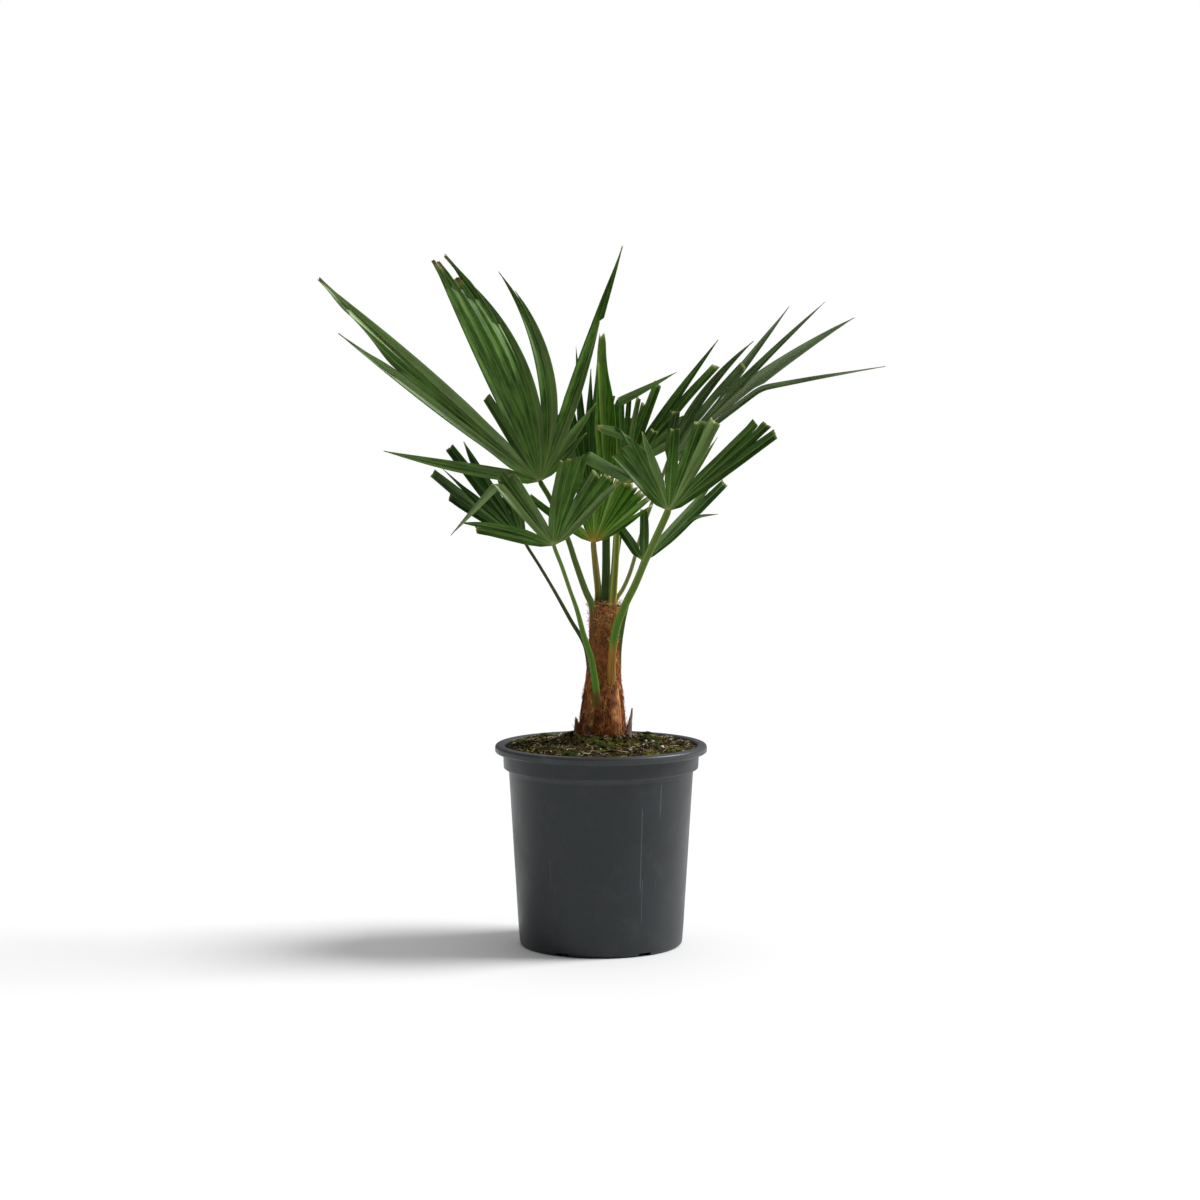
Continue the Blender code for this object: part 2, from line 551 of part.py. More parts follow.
def make_blade(name, leaf, home, finish):
    """A pleated fan: straps grown together near the hub and free towards their tips."""
    straps = leaf["straps"]
    right, up, face = fan_axes(leaf["facing"])
    hub = Vector(leaf["hub"])
    lines = []
    for piece in straps:
        rows, common = rows_of(piece)
        lines.append((rows, common, centre_line(piece, rows)))
    bm = bmesh.new()

    def vertex(place):
        return bm.verts.new(hub + right * place.x + up * place.y + face * place.z)

    middle = vertex(Vector((0, 0, 0)))
    seams = []
    for i in range(len(straps) - 1):
        limit = max(straps[i]["join"], WEB_RADIUS)
        seam = []
        for k in range(min(lines[i][1], lines[i + 1][1])):
            if lines[i][0][k] > limit + 1e-6:
                break
            one, two = lines[i][2][k][0], lines[i + 1][2][k][0]
            ridge = Vector((0, 0, PLEAT * (two - one).length / 2 * min(1, k / 2)))
            seam.append(vertex((one + two) / 2 + ridge))
        seams.append(seam)
    for i, piece in enumerate(straps):
        rows, _, line = lines[i]
        sides = []
        for side, seam in ((1, seams[i - 1] if i else []), (-1, seams[i] if i < len(seams) else [])):
            edge = []
            other = i - side
            room = [1.0] * len(line)
            if 0 <= other < len(straps):
                room = room_beside(piece, line, rows, straps[other])
            for k, (place, left) in enumerate(line):
                distance = rows[k]
                if k < len(seam):
                    edge.append(seam[k])
                    continue
                wide = half_width(piece, distance / piece["length"])
                wide = max(min(wide, room[k]), 0.0004)
                if k == len(line) - 1 and piece["end"] != "cut":
                    edge.append(None)
                    continue
                ridge = Vector((0, 0, PLEAT * wide * min(1, k / 2)))
                edge.append(vertex(place + left * wide * side + ridge))
            sides.append(edge)
        spine = [vertex(place) for place, _ in line]
        first_left, first_right = sides[0][0], sides[1][0]
        bm.faces.new((middle, spine[0], first_left))
        bm.faces.new((middle, first_right, spine[0]))
        for k in range(len(line) - 1):
            for edge, turned_round in ((sides[0], False), (sides[1], True)):
                corners = [spine[k], spine[k + 1], edge[k + 1], edge[k]]
                corners = [corner for corner in corners if corner]
                bm.faces.new(corners[::-1] if turned_round else corners)
    bmesh.ops.recalc_face_normals(bm, faces=bm.faces)
    bmesh.ops.triangulate(bm, faces=bm.faces)
    obj = new_object(name, mesh_of(bm, name), home, finish)
    shell = obj.modifiers.new("Thickness", "SOLIDIFY")
    shell.thickness = BLADE_THICKNESS
    shell.offset = 0
    return obj


def in_crown(ring):
    """The three lowest points of a stalk that stands on the stem's top, inside the sheath."""
    stem = Matrix.Translation((TRUNK_FOOT_X, 0, SOIL_TOP_Z)) @ Matrix.Rotation(TRUNK_LEAN, 4, "Y")
    foot = stem @ Vector((*ring, TRUNK_OUTLINE[-1][0] + GAP))
    top = stem @ Vector((*ring, SHEATH_HEIGHTS[0] + GAP))
    return [foot, foot.lerp(top, 0.5), top]


def make_stalk(name, points, radii, home, finish, cutters=()):
    """A tapering round stalk through these points, cut back from the stem."""
    curve = bpy.data.curves.new(name, "CURVE")
    curve.dimensions = "3D"
    curve.bevel_depth = 1
    curve.bevel_resolution = 2
    curve.use_fill_caps = True
    route = along(points, 9)
    line = curve.splines.new("POLY")
    line.points.add(len(route) - 1)
    for i, place in enumerate(route):
        share = i / (len(route) - 1)
        line.points[i].co = (*place, 1)
        line.points[i].radius = radii[0] + (radii[1] - radii[0]) * min(1, share * 1.5)
    guide = new_object(name, curve, home)
    graph = bpy.context.evaluated_depsgraph_get()
    mesh = bpy.data.meshes.new_from_object(guide.evaluated_get(graph))
    bpy.data.objects.remove(guide)
    bm = bmesh.new()
    bm.from_mesh(mesh)
    bmesh.ops.remove_doubles(bm, verts=bm.verts, dist=0.00001)
    bm.to_mesh(mesh)
    bm.free()
    obj = smooth(new_object(name, mesh, home))
    mesh.materials.clear()
    mesh.materials.append(finish)
    for i, cutter in enumerate(cutters):
        subtract(obj, cutter, f"Cut {i + 1}")
    return obj


def seat_of(hub, below, face, radius):
    """Where a stalk's centre line ends, so that its edge lies close behind the blade's hub."""
    line = (hub - below).normalized()
    across = (face - line * face.dot(line)).normalized()
    return hub - face * (BLADE_THICKNESS / 2 + GAP) - across * radius


def make_leaves(home, stem_cutter):
    for name, leaf in LEAVES.items():
        face = fan_axes(leaf["facing"])[2]
        blade = material(name + "_blade", leaf["colour"], 0.35)
        stalk = material(name + "_stalk", [c * 1.25 for c in leaf["colour"]], 0.45)
        make_blade(name + "_blade", leaf, home, blade)
        points = [Vector(p) for p in leaf["stalk"]]
        points.append(seat_of(Vector(leaf["hub"]), points[-1], face, leaf["girth"][1]))
        ring = leaf.get("ring")
        if ring:
            points = in_crown(ring) + points
        cutters = [] if ring else [stem_cutter]
        make_stalk(name + "_stalk", points, leaf["girth"], home, stalk, cutters)


def make_spear(home):
    green = material("spear_leaf", BRIGHT_GREEN, 0.4)
    points = in_crown(SPEAR["ring"]) + [Vector(SPEAR["tip"])]
    make_stalk("spear_leaf", points, (SPEAR["girth"], 0.0006), home, green)


def make_moss(home, soil_cutter):
    green = material("moss", (0.040, 0.075, 0.014), 0.95)
    for number, (azimuth, reach, radius, height) in enumerate(MOSS, 1):
        bm = bmesh.new()
        bmesh.ops.create_icosphere(bm, subdivisions=2, radius=1)
        bmesh.ops.scale(bm, vec=(radius, radius * 0.8, height), verts=bm.verts)
        turn = Matrix.Rotation(radians(azimuth), 4, "Z")
        place = turn @ Matrix.Translation((0, -reach, soil_top(reach)))
        bmesh.ops.transform(bm, matrix=place, verts=bm.verts)
        obj = smooth(new_object(f"moss_{number}", mesh_of(bm, "moss"), home, green))
        subtract(obj, soil_cutter, "Soil")


clear_scene()
parts = collection("potted_windmill_palm")
helpers = collection("cutters", hidden=True)
make_pot(parts, helpers)
stem = make_trunk(parts, helpers)
ground = turned("soil_cutter", soil_outline(GAP), helpers)
soil = turned("potting_soil", soil_outline(0), parts, material("potting_soil", (0.022, 0.014, 0.009), 1.0))
subtract(soil, stem, "Stem")
make_sheath(parts)
make_old_bases(parts, stem, ground)
make_leaves(parts, stem)
make_spear(parts)
make_moss(parts, ground)
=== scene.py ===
"""Looks of a potted windmill palm: pleated fan leaves, a fibrous stem, potting soil and its pot.

Metres, +Z up, the front faces -Y, and the origin is the centre of the pot's underside.
"""

import json
import random
from math import cos, hypot, pi, radians, sin, tan

import bmesh
import bpy
from mathutils import Matrix, Vector, noise

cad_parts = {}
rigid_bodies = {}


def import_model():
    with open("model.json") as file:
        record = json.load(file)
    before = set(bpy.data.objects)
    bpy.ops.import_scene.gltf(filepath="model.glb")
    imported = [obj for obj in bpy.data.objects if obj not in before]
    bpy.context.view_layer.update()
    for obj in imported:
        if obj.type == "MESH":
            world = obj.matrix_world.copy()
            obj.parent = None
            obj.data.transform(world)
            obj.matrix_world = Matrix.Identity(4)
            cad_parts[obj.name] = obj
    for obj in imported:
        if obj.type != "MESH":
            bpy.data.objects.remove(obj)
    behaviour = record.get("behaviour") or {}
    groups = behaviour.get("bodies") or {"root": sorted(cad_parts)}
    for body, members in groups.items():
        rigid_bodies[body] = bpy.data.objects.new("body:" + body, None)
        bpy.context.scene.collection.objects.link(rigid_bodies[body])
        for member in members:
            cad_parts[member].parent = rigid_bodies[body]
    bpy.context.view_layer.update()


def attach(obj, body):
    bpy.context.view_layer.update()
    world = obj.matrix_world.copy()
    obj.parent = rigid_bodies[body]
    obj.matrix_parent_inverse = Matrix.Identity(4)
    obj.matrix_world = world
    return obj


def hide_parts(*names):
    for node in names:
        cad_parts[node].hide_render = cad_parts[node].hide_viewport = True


for startup in list(bpy.data.objects):
    bpy.data.objects.remove(startup)
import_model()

# ---- camera and light ----
CAMERA_PLACE = (-0.001, -3.0, 0.60)
CAMERA_DIP = radians(4.9)
CAMERA_LENS = 91.5
FLOOR_SIZE = 14.0
FLOOR_GREY = (0.90, 0.90, 0.90)
# brightness of the studio at the horizon and overhead
SKY = (0.03, 0.66)
# how far the bright part of the studio leans to the right and to the back
SKY_LEAN = (0.15, 0.40)
# how much of that brightness shows in a glossy surface
MIRRORED_SKY = 0.55
# the large soft light: its azimuth from the right and its height, its width and its strength
KEY_FROM = (radians(7), radians(40))
KEY_SOFTNESS = radians(28)
KEY_POWER = 3.5

# ---- the pot, soil and stem, as in the solids ----
# the space left between two solids that stand on each other
GAP = 0.0003
POT_HEIGHT = 0.200
POT_RIM_RADIUS = 0.105
POT_BASE_RADIUS = 0.081
POT_WALL = 0.0018
LIP_HEIGHT = 0.008
COLLAR_RADIUS = 0.0965
SHOULDER_Z = 0.176
SHOULDER_STEP = 0.005
FOOT_RADIUS = 0.004
PAD_RADIUS = 0.032
RECESS_RADIUS = 0.060
RECESS_DEPTH = 0.003
# the drain slots at the pot's foot, and the round holes in its floor
SLOT_COUNT = 6
SLOT_SIZE = (0.012, 0.014, 0.007)
SLOT_TURN = radians(-58)
HOLE_RADIUS = 0.006
HOLE_REACH = 0.047
SOIL_EDGE_Z = 0.1935
SOIL_TOP_Z = 0.207
TRUNK_FOOT_X = 0.001
TRUNK_LEAN = radians(1.4)
# how high the soil is heaped against the stem
MOUND = 0.0060
# height above the soil level and radius of the stem
TRUNK_OUTLINE = [
    (-0.035, 0.0120), (-0.010, 0.0200), (0.0, 0.0225), (0.024, 0.0212), (0.040, 0.0190),
    (0.056, 0.0160), (0.075, 0.0148), (0.095, 0.0135),
]
# the height of the fibre sleeve's top above the soil level
SHEATH_TOP = 0.133
# how thick a blade's solid is
BLADE_SOLID = 0.0008

# ---- how the leaves are made ----
BLADE_THICKNESS = 0.00045
# how high a strap's edge stands over its middle, for its half width, and the distance from the
# hub over which it rises to that
PLEAT = 0.50
PLEAT_RISE = 0.045
# the height for a leaflet's free part, its breadth as seen flat, and the length over which it folds
FREE_PLEAT = 0.72
FREE_SPREAD = 0.86
FOLDING_LENGTH = 0.060
# how round the valley between two edges is
VALLEY = 1.2
# the fan is whole up to here, with its first rows closer to the hub
WEB_RADIUS = 0.012
HUB_ROWS = [0.0014, 0.006]
ROW_PITCH = 0.004
CREASE_PITCH = 0.002
COLUMNS = 8
COURSE_STEP = 0.001
# a strap that turns by more than this, in degrees, is creased, and otherwise it bends
CREASE_FROM = 40
CREASE_RADIUS = 0.0013
KINK_LENGTH = 0.022
# how much the folded part stands off, for its length
CREASE_OPENS = 0.10
# the lengths over which two straps close into one and part from each other, and how fast a
# parted strap may widen again
MERGE_LENGTH = 0.070
SPLIT_FADE = 0.040
SPLIT_LENGTH = 0.030
# the most that a free leaflet turns on its own line, in degrees, and how high its waves are
TWIST = 22
WAVE_HEIGHTS = (0.0002, 0.0006)
# the length over which a leaflet's end takes its shape, and the lengths that dry at a cut end and
# at a tip
END_LENGTH = 0.012
DRY_CUTS = (0.0012, 0.0035)
DRY_TIPS = (0.006, 0.024)


def strap(angle, length, width, join=0, bend=0, lift=0, end="tip"):
    """A strap of a leaf, from a row of its table.

    angle is in degrees from straight up in the fan's plane, clockwise as its face is seen; join
    is how far it is grown together with the next strap; bend is in degrees over its length; lift
    is how far its tip stands out of the plane, for its length; and end is "tip", "cut", "worn" or
    a fold. A fold is (distance, turn in degrees), with the share of width that it loses where it
    ends broad and rounded. Lengths are in millimetres here, and in metres in what it returns."""
    if isinstance(end, tuple):
        end = (end[0] / 1000, *end[1:])
    sizes = dict(length=length / 1000, width=width / 1000, join=join / 1000)
    return dict(angle=angle, bend=bend, lift=lift, end=end, **sizes)


def metres(lengths):
    return [length / 1000 for length in lengths]


def fan_leaf(hub, facing, colour, girth, stalk, straps, ring=(), tones=(0, 1)):
    """A leaf, from lengths in millimetres.

    facing is the azimuth of the blade's face from the front and its height, in degrees; stalk is
    the stalk's centre line from its foot up, which ends at the hub; girth is its radius at foot
    and at hub; ring is its place on the stem's top, where it stands in the crown; and tones is
    the range of shades, from dull to glossy, among its straps."""
    return dict(
        hub=metres(hub), facing=facing, colour=colour, girth=metres(girth), ring=metres(ring),
        stalk=[metres(place) for place in stalk], straps=[strap(*row) for row in straps],
        tones=tones,
    )


LEAVES = {
    "leaf_01": fan_leaf(
        hub=(-59, -30, 461), facing=(0, 5), colour="green", girth=(4.2, 2.6), tones=(0.25, 1.0),
        stalk=[
            (-8.5, -10, 290), (-8.5, -13, 318), (-9.5, -14, 338), (-15.5, -16, 354),
            (-25.5, -20, 383), (-33, -23.5, 406), (-49, -28, 443),
        ],
        straps=[
            (-80.5, 152, 13, 30, 2, 0.3), (-54.5, 238, 13, 170, 1, 0.22),
            (-51, 245, 16, 245, 1, 0.21), (-47.3, 285, 19, 20, -1, 0.2, "worn"),
            (-33, 98, 12, 20, 0, -0.05, "cut"), (-23.5, 235, 17, 205, -5, 0.17, "worn"),
            (-16, 233, 17, 200, -18, 0.14, "worn"), (-9, 214, 16, 190, -27, 0.1, "worn"),
            (-3, 243, 18, 160, -40, 0.05, "worn"), (3.8, 221, 13, 26, -49, -0.02),
            (13.5, 218, 14, 130, -50, -0.08), (18.5, 198, 13, 20, -53, -0.1),
            (21.5, 247, 16, 35, -5, -0.12), (26, 169, 10, 25, -12, -0.14),
            (33, 95, 12, 20, 4, -0.1), (43, 66, 10, 0, 0, -0.12),
        ],
    ),
    "leaf_02": fan_leaf(
        hub=(-45, -100, 403), facing=(-6, 8), colour="green", girth=(4.8, 2.4),
        stalk=[
            (-5, -17, 236), (-5, -21, 256), (-9.5, -24, 286), (-17, -36, 312), (-23.3, -52, 337.5),
            (-30, -70, 358.5), (-37.3, -88, 382),
        ],
        straps=[
            (-79, 77, 9, 60, 2, -0.02, "cut"), (-67, 94, 11, 20, -19, -0.02),
            (-42.5, 148, 11, 70, 0, 0.07, (78, -96)), (-37, 87, 9, 72, 0, 0, "cut"),
            (-31, 80, 10, 20, 0, -0.01, "cut"), (-3, 82, 9, 60, 18, 0, "cut"),
            (6, 85, 10, 60, 10, 0.02, "cut"), (16, 148, 15, 50, 3, 0.06, (89, 100, 0.3)),
            (29, 81, 12, 70, 0, -0.06, "cut"), (37, 84, 12, 70, 0, -0.08, "cut"),
            (45, 85, 10, 0, 0, -0.1),
        ],
    ),
    "leaf_03": fan_leaf(
        hub=(-76, 12, 400), facing=(-10, 5), colour="dark_green", girth=(2.7, 1.6),
        stalk=[
            (-10.5, 6.5, 268), (-15.8, 7, 297), (-30, 8.5, 322), (-45.6, 10, 350), (-60.4, 11, 375),
        ],
        straps=[
            (-62, 92, 9, 70, 0, -0.22, "cut"), (-56, 120, 11, 60, 0, -0.2, "cut"),
            (-51, 118, 6, 50, 0, -0.22), (-41, 124, 12, 85, 0, -0.16, "cut"),
            (-34, 120, 11, 30, 0, -0.16), (-22, 66, 10, 40, 0, -0.1, "cut"),
            (-12, 60, 9, 0, 0, -0.05, "cut"),
        ],
    ),
    "leaf_04": fan_leaf(
        hub=(-7, -75, 404), facing=(4, 8), colour="bright_green", girth=(2.9, 2.8), ring=(-8, -6.2),
        stalk=[
            (-3.4, -13, 353), (-5.4, -45, 376), (-6.4, -62, 390),
        ],
        straps=[
            (-57, 76, 8, 14, 8, -0.1, "cut"), (-44, 28, 8, 14, 0, -0.05), (-22, 39, 6, 34, 0, 0),
            (-14, 46, 6, 40, 0, 0), (-6, 53, 7, 46, 0, 0), (1, 60, 7, 52, 0, 0.01),
            (8, 67, 7, 56, 0, 0.02), (15, 69, 8, 58, 0, 0.03), (22, 69, 8, 60, 0, 0.03),
            (29, 69, 8, 60, 0, 0.04), (36, 69, 8, 60, 0, 0.05), (43, 70, 8, 58, 2, 0.07),
            (50, 71, 7, 16, 6, 0.07), (60, 68, 7, 0, -6, -0.05),
        ],
    ),
    "leaf_05": fan_leaf(
        hub=(64, -100, 436), facing=(8, 8), colour="green", girth=(5.2, 4.4),
        stalk=[
            (10.5, -17, 265), (11, -19.5, 288), (15, -27, 318), (23.4, -38, 341), (33, -52, 362),
            (42.4, -68, 386), (51.7, -85, 408),
        ],
        straps=[
            (-43, 74, 12, 60, 0, 0.02, "cut"), (-35, 75, 12, 66, 0, 0.02, "cut"),
            (-27, 114, 14, 50, 0, 0.05, (75, -46, 0.45)), (-17, 81, 10, 20, 0, 0.01),
            (5, 79, 12, 22, 0, 0.03, "cut"), (21, 93, 14, 85, 0, -0.06, "cut"),
            (29, 99, 14, 24, 0, -0.06, "cut"), (35, 87, 6, 20, 0, -0.05),
            (45.5, 118, 11, 108, 0, 0.12, "cut"), (49.5, 124, 11, 66, 0, 0.14, "cut"),
            (55, 124, 12, 0, 0, 0.16, "cut"),
        ],
    ),
    "leaf_06": fan_leaf(
        hub=(41, -48, 384), facing=(12, 6), colour="dark_green", girth=(3.6, 2.2),
        stalk=[
            (16, -1, 262), (17.5, -3, 293), (20.5, -9, 316), (25, -20, 338), (32.5, -34, 361),
        ],
        straps=[
            (-33, 39, 10, 14, 0, -0.04, "cut"), (3, 51, 9, 14, 0, -0.03, "cut"),
            (43.5, 109, 9, 80, 0, -0.12), (48.5, 116, 10, 60, 0, -0.14, "cut"),
            (53.3, 96, 6, 0, -4, -0.24, (70, 34)),
        ],
    ),
    "leaf_07": fan_leaf(
        hub=(65.5, 22, 478), facing=(-8, 12), colour="pale_green", girth=(2.8, 2.2), ring=(9.5, 2),
        stalk=[
            (22, 4, 354), (29.7, 7, 372), (39.6, 12, 406), (49, 16, 434),
        ],
        straps=[
            (9, 52, 11, 20, 0, -0.05, "cut"), (20, 150, 11, 22, 28, -0.03),
            (34.5, 121, 14, 50, 9, 0.05, "cut"), (38.3, 199, 11, 80, -5, -0.09),
            (40.7, 228, 9, 100, 2, -0.15), (43, 238, 16, 60, 14, -0.12),
            (49.7, 243, 7, 22, 0, -0.22, (118, 26)), (66, 45, 9, 0, 0, -0.05, "cut"),
        ],
    ),
    "leaf_08": fan_leaf(
        hub=(5, -5, 440), facing=(0, 8), colour="bright_green", girth=(3.1, 2.6), ring=(-0.3, -8.5),
        stalk=[
            (5, -7.8, 372), (5, -7, 406),
        ],
        straps=[
            (-7.2, 139, 9, 139, 4, 0.03), (-2.8, 167, 10, 154, 2, 0), (1.8, 154, 10, 130, 0, 0),
            (5.4, 130, 9, 100, -2, 0.02), (9.2, 100, 9, 0, -2, 0.04),
        ],
    ),
    "leaf_09": fan_leaf(
        hub=(21, 40, 459.5), facing=(5, 8), colour="green", girth=(3.6, 2.6), ring=(7, -5.5),
        stalk=[
            (14, 7, 380), (16, 20, 411),
        ],
        straps=[
            (-6, 148, 12, 30, 0, 0.06, (72, 69)), (0, 80, 6, 30, 0, 0, "cut"),
            (6, 82, 6, 30, 0, -0.04, "cut"), (12, 84, 6, 30, 0, 0, "cut"),
            (20, 105, 11, 30, 2, -0.08, "cut"), (34, 60, 10, 0, 0, -0.04, "cut"),
        ],
    ),
    "leaf_10": fan_leaf(
        hub=(-12, 49, 437), facing=(-8, 10), colour="dark_green", girth=(3.2, 2.2),
        ring=(-5.2, 8.1),
        stalk=[
            (-4, 22, 370), (-8.5, 37, 406),
        ],
        straps=[
            (-38, 70, 11, 30, 0, -0.16, "cut"), (-28, 86, 11, 40, 0, -0.14, "cut"),
            (-20, 98, 10, 50, 0, -0.14, "cut"), (-13.2, 111, 10, 60, 0, -0.12, "cut"),
            (-7.1, 162, 9, 70, 0, -0.12), (-1.5, 137, 10, 80, 0, -0.1),
            (3.9, 154, 9, 70, -6, -0.12), (10, 110, 10, 50, 0, -0.1, "cut"),
            (19, 92, 12, 40, 0, -0.1, "cut"), (30, 74, 11, 0, 0, -0.1, "cut"),
        ],
    ),
    "leaf_11": fan_leaf(
        hub=(32, 78, 476), facing=(-12, 12), colour="green", girth=(3.4, 2.4), ring=(3.5, 8.6),
        stalk=[
            (15, 33, 382), (24, 58, 435),
        ],
        straps=[
            (-25, 52, 10, 25, 0, -0.04, "cut"), (-8, 45, 10, 25, 0, 0, "cut"),
            (10, 60, 10, 30, 0, 0, "cut"), (31.2, 152, 10, 60, 0, -0.14),
            (37.5, 129, 10, 50, 0, -0.14, "cut"), (50, 72, 16, 40, 0, -0.12, "cut"),
            (63, 56, 10, 0, 0, -0.14, "cut"),
        ],
    ),
}
# the youngest leaf, in metres: its place on the stem's top, its tip and its radius
SPEAR = dict(ring=(0.0, 0.0003), tip=(0.0095, 0.0130, 0.462), girth=0.0030)

# azimuth from the front in degrees, length, width and lean outwards in degrees
OLD_BASES = [
    (38, 0.050, 0.014, 1), (82, 0.026, 0.010, 15), (-76, 0.018, 0.012, 14), (-36, 0.014, 0.011, 14),
    (-124, 0.040, 0.014, 1), (140, 0.046, 0.014, 1), (-174, 0.034, 0.013, 4),
]
# azimuth in degrees, distance from the middle, radius, height
MOSS = [
    (2, 0.046, 0.011, 0.0042), (52, 0.066, 0.009, 0.0036), (95, 0.050, 0.010, 0.0040),
    (140, 0.072, 0.008, 0.0034), (186, 0.056, 0.011, 0.0044), (228, 0.074, 0.009, 0.0036),
    (-48, 0.062, 0.010, 0.0040), (-82, 0.080, 0.008, 0.0034), (-22, 0.078, 0.008, 0.0032),
]


# ---- small helpers ----
def smooth_step(value):
    share = min(max(value, 0.0), 1.0)
    return share * share * (3 - 2 * share)


def blend(one, two, share):
    return one + (two - one) * share


def build_mesh(name, points, faces, finishes, smooth=True):
    """A new object from points and faces, with its materials, standing in the scene."""
    mesh = bpy.data.meshes.new(name)
    mesh.from_pydata(points, [], faces)
    mesh.polygons.foreach_set("use_smooth", [smooth] * len(faces))
    for finish in finishes:
        mesh.materials.append(finish)
    obj = bpy.data.objects.new(name, mesh)
    bpy.context.scene.collection.objects.link(obj)
    return obj


def ring_quads(low, high, count):
    """The faces between two rings of points, which start at these numbers."""
    nexts = [(j, (j + 1) % count) for j in range(count)]
    return [(low + j, low + k, high + k, high + j) for j, k in nexts]


def end_faces(first, last, count):
    """The faces that close a tube at its first and its last ring of points."""
    return [tuple(range(first + count - 1, first - 1, -1)), tuple(range(last, last + count))]


def level_ring(radius, z, count):
    """Points on a level circle round the pot's middle line."""
    turns = [2 * pi * j / count for j in range(count)]
    return [(radius * cos(turn), radius * sin(turn), z) for turn in turns]


def write_values(obj, name, values, domain="CORNER"):
    """Keeps a vector for each corner or point of the mesh, which the materials read by name."""
    made = obj.data.attributes.new(name, "FLOAT_VECTOR", domain)
    made.data.foreach_set("vector", [number for value in values for number in value])


def settle(obj, slot_name, *nodes):
    """The piece rides on the plant and stands for these solids; slot_name is not used."""
    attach(obj, "root")
    if nodes:
        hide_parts(*nodes)
    return obj


def thicken(obj, thickness, inner_finish=0):
    shell = obj.modifiers.new("Thickness", "SOLIDIFY")
    shell.thickness = thickness
    shell.offset = 0
    shell.material_offset = inner_finish
    shell.material_offset_rim = inner_finish
    return shell


def along(points, count):
    """Evenly numbered points on a smooth curve through the given ones."""
    ends = [points[0] * 2 - points[1]] + points + [points[-1] * 2 - points[-2]]
    found = []
    for i in range(count + 1):
        place = min(i / count * (len(points) - 1), len(points) - 1.000001)
        k, t = int(place), place - int(place)
        a, b, c, d = ends[k : k + 4]
        square, cube = 2 * a - 5 * b + 4 * c - d, 3 * b - a - 3 * c + d
        found.append(0.5 * (2 * b + (c - a) * t + square * t**2 + cube * t**3))
    return found


def length_of(route):
    return sum((b - a).length for a, b in zip(route, route[1:]))


def steps_of(route):
    """Each place of a route, the way the route runs there, and the length gone so far."""
    gone = 0.0
    for i, place in enumerate(route):
        before, after = route[max(i - 1, 0)], route[min(i + 1, len(route) - 1)]
        gone += (place - before).length
        yield place, (after - before).normalized(), gone


def stem_radius(height):
    for (z1, r1), (z2, r2) in zip(TRUNK_OUTLINE, TRUNK_OUTLINE[1:]):
        if height <= z2:
            return r1 + (r2 - r1) * max(0, height - z1) / (z2 - z1)
    return TRUNK_OUTLINE[-1][1]


STEM = Matrix.Translation((TRUNK_FOOT_X, 0, SOIL_TOP_Z)) @ Matrix.Rotation(TRUNK_LEAN, 4, "Y")


def on_stem(azimuth, height, out=0.0):
    """A place on the leaning stem: azimuth from the front in radians, height above the soil level."""
    reach = stem_radius(height) + out
    return STEM @ Vector((reach * sin(azimuth), -reach * cos(azimuth), height))


def soil_top(radius):
    reach = min(radius / 0.09, 1)
    return SOIL_EDGE_Z + (SOIL_TOP_Z - SOIL_EDGE_Z) * (1 - reach**2)


# ---- shader building blocks ----
class Value:
    """A value in a shader tree, which can be added to others and multiplied by them."""

    def __init__(self, socket):
        self.socket = socket
        self.tree = socket.id_data

    def __add__(self, other):
        return sums("ADD", self, other)

    def __mul__(self, other):
        return sums("MULTIPLY", self, other)


def feed(socket, value):
    if isinstance(value, Value):
        value.tree.links.new(value.socket, socket)
    else:
        socket.default_value = value


def put(tree, kind, settings=None, **sockets):
    """Adds a node: settings are its options, and sockets what its inputs take, by name."""
    node = tree.nodes.new("ShaderNode" + kind)
    for key, value in (settings or {}).items():
        setattr(node, key, value)
    for key, value in sockets.items():
        feed(node.inputs[key.replace("_", " ")], value)
    return node


def sums(operation, first, *others):
    """The result of a sum, as the Math node names it."""
    node = put(first.tree, "Math", {"operation": operation})
    for socket, value in zip(node.inputs, (first, *others)):
        feed(socket, value)
    return Value(node.outputs[0])


def times_plus(one, two, more):
    return sums("MULTIPLY_ADD", one, two, more)


def distance_from(value, middle):
    return sums("ABSOLUTE", sums("SUBTRACT", value, middle))


def span(value, start, end, low=0.0, high=1.0):
    """The value's place between start and end, eased, from low to high."""
    node = put(
        value.tree, "MapRange", {"interpolation_type": "SMOOTHSTEP"},
        Value=value, From_Min=start, From_Max=end, To_Min=low, To_Max=high,
    )
    return Value(node.outputs["Result"])


def mixed(share, one, two):
    """Two colours mixed: share is how much of the second one shows."""
    tree = next(value.tree for value in (share, one) if isinstance(value, Value))
    node = put(tree, "Mix", {"data_type": "RGBA"})
    for socket, value in zip((node.inputs[0], node.inputs[6], node.inputs[7]), (share, one, two)):
        feed(socket, (*value, 1) if isinstance(value, tuple) else value)
    return Value(node.outputs[2])


def coated(colour, *coats):
    """A colour with others laid over it in turn, each given as (how much of it shows, colour)."""
    for share, coat in coats:
        colour = mixed(share, colour, coat)
    return colour


def scaled(vector, scale):
    """A vector stretched by its own scale on each axis."""
    node = put(vector.tree, "VectorMath", {"operation": "MULTIPLY"})
    for socket, value in zip(node.inputs, (vector, scale)):
        feed(socket, value)
    return Value(node.outputs[0])


def vector_of(x, y, z=0.0):
    return Value(put(x.tree, "CombineXYZ", X=x, Y=y, Z=z).outputs[0])


def parts_of(vector):
    """The three numbers of a vector."""
    return [Value(part) for part in put(vector.tree, "SeparateXYZ", Vector=vector).outputs]


def noise_of(vector, scale, detail=3.0, roughness=0.55):
    sockets = dict(Vector=vector, Scale=scale, Detail=detail, Roughness=roughness)
    return Value(put(vector.tree, "TexNoise", **sockets).outputs["Fac"])


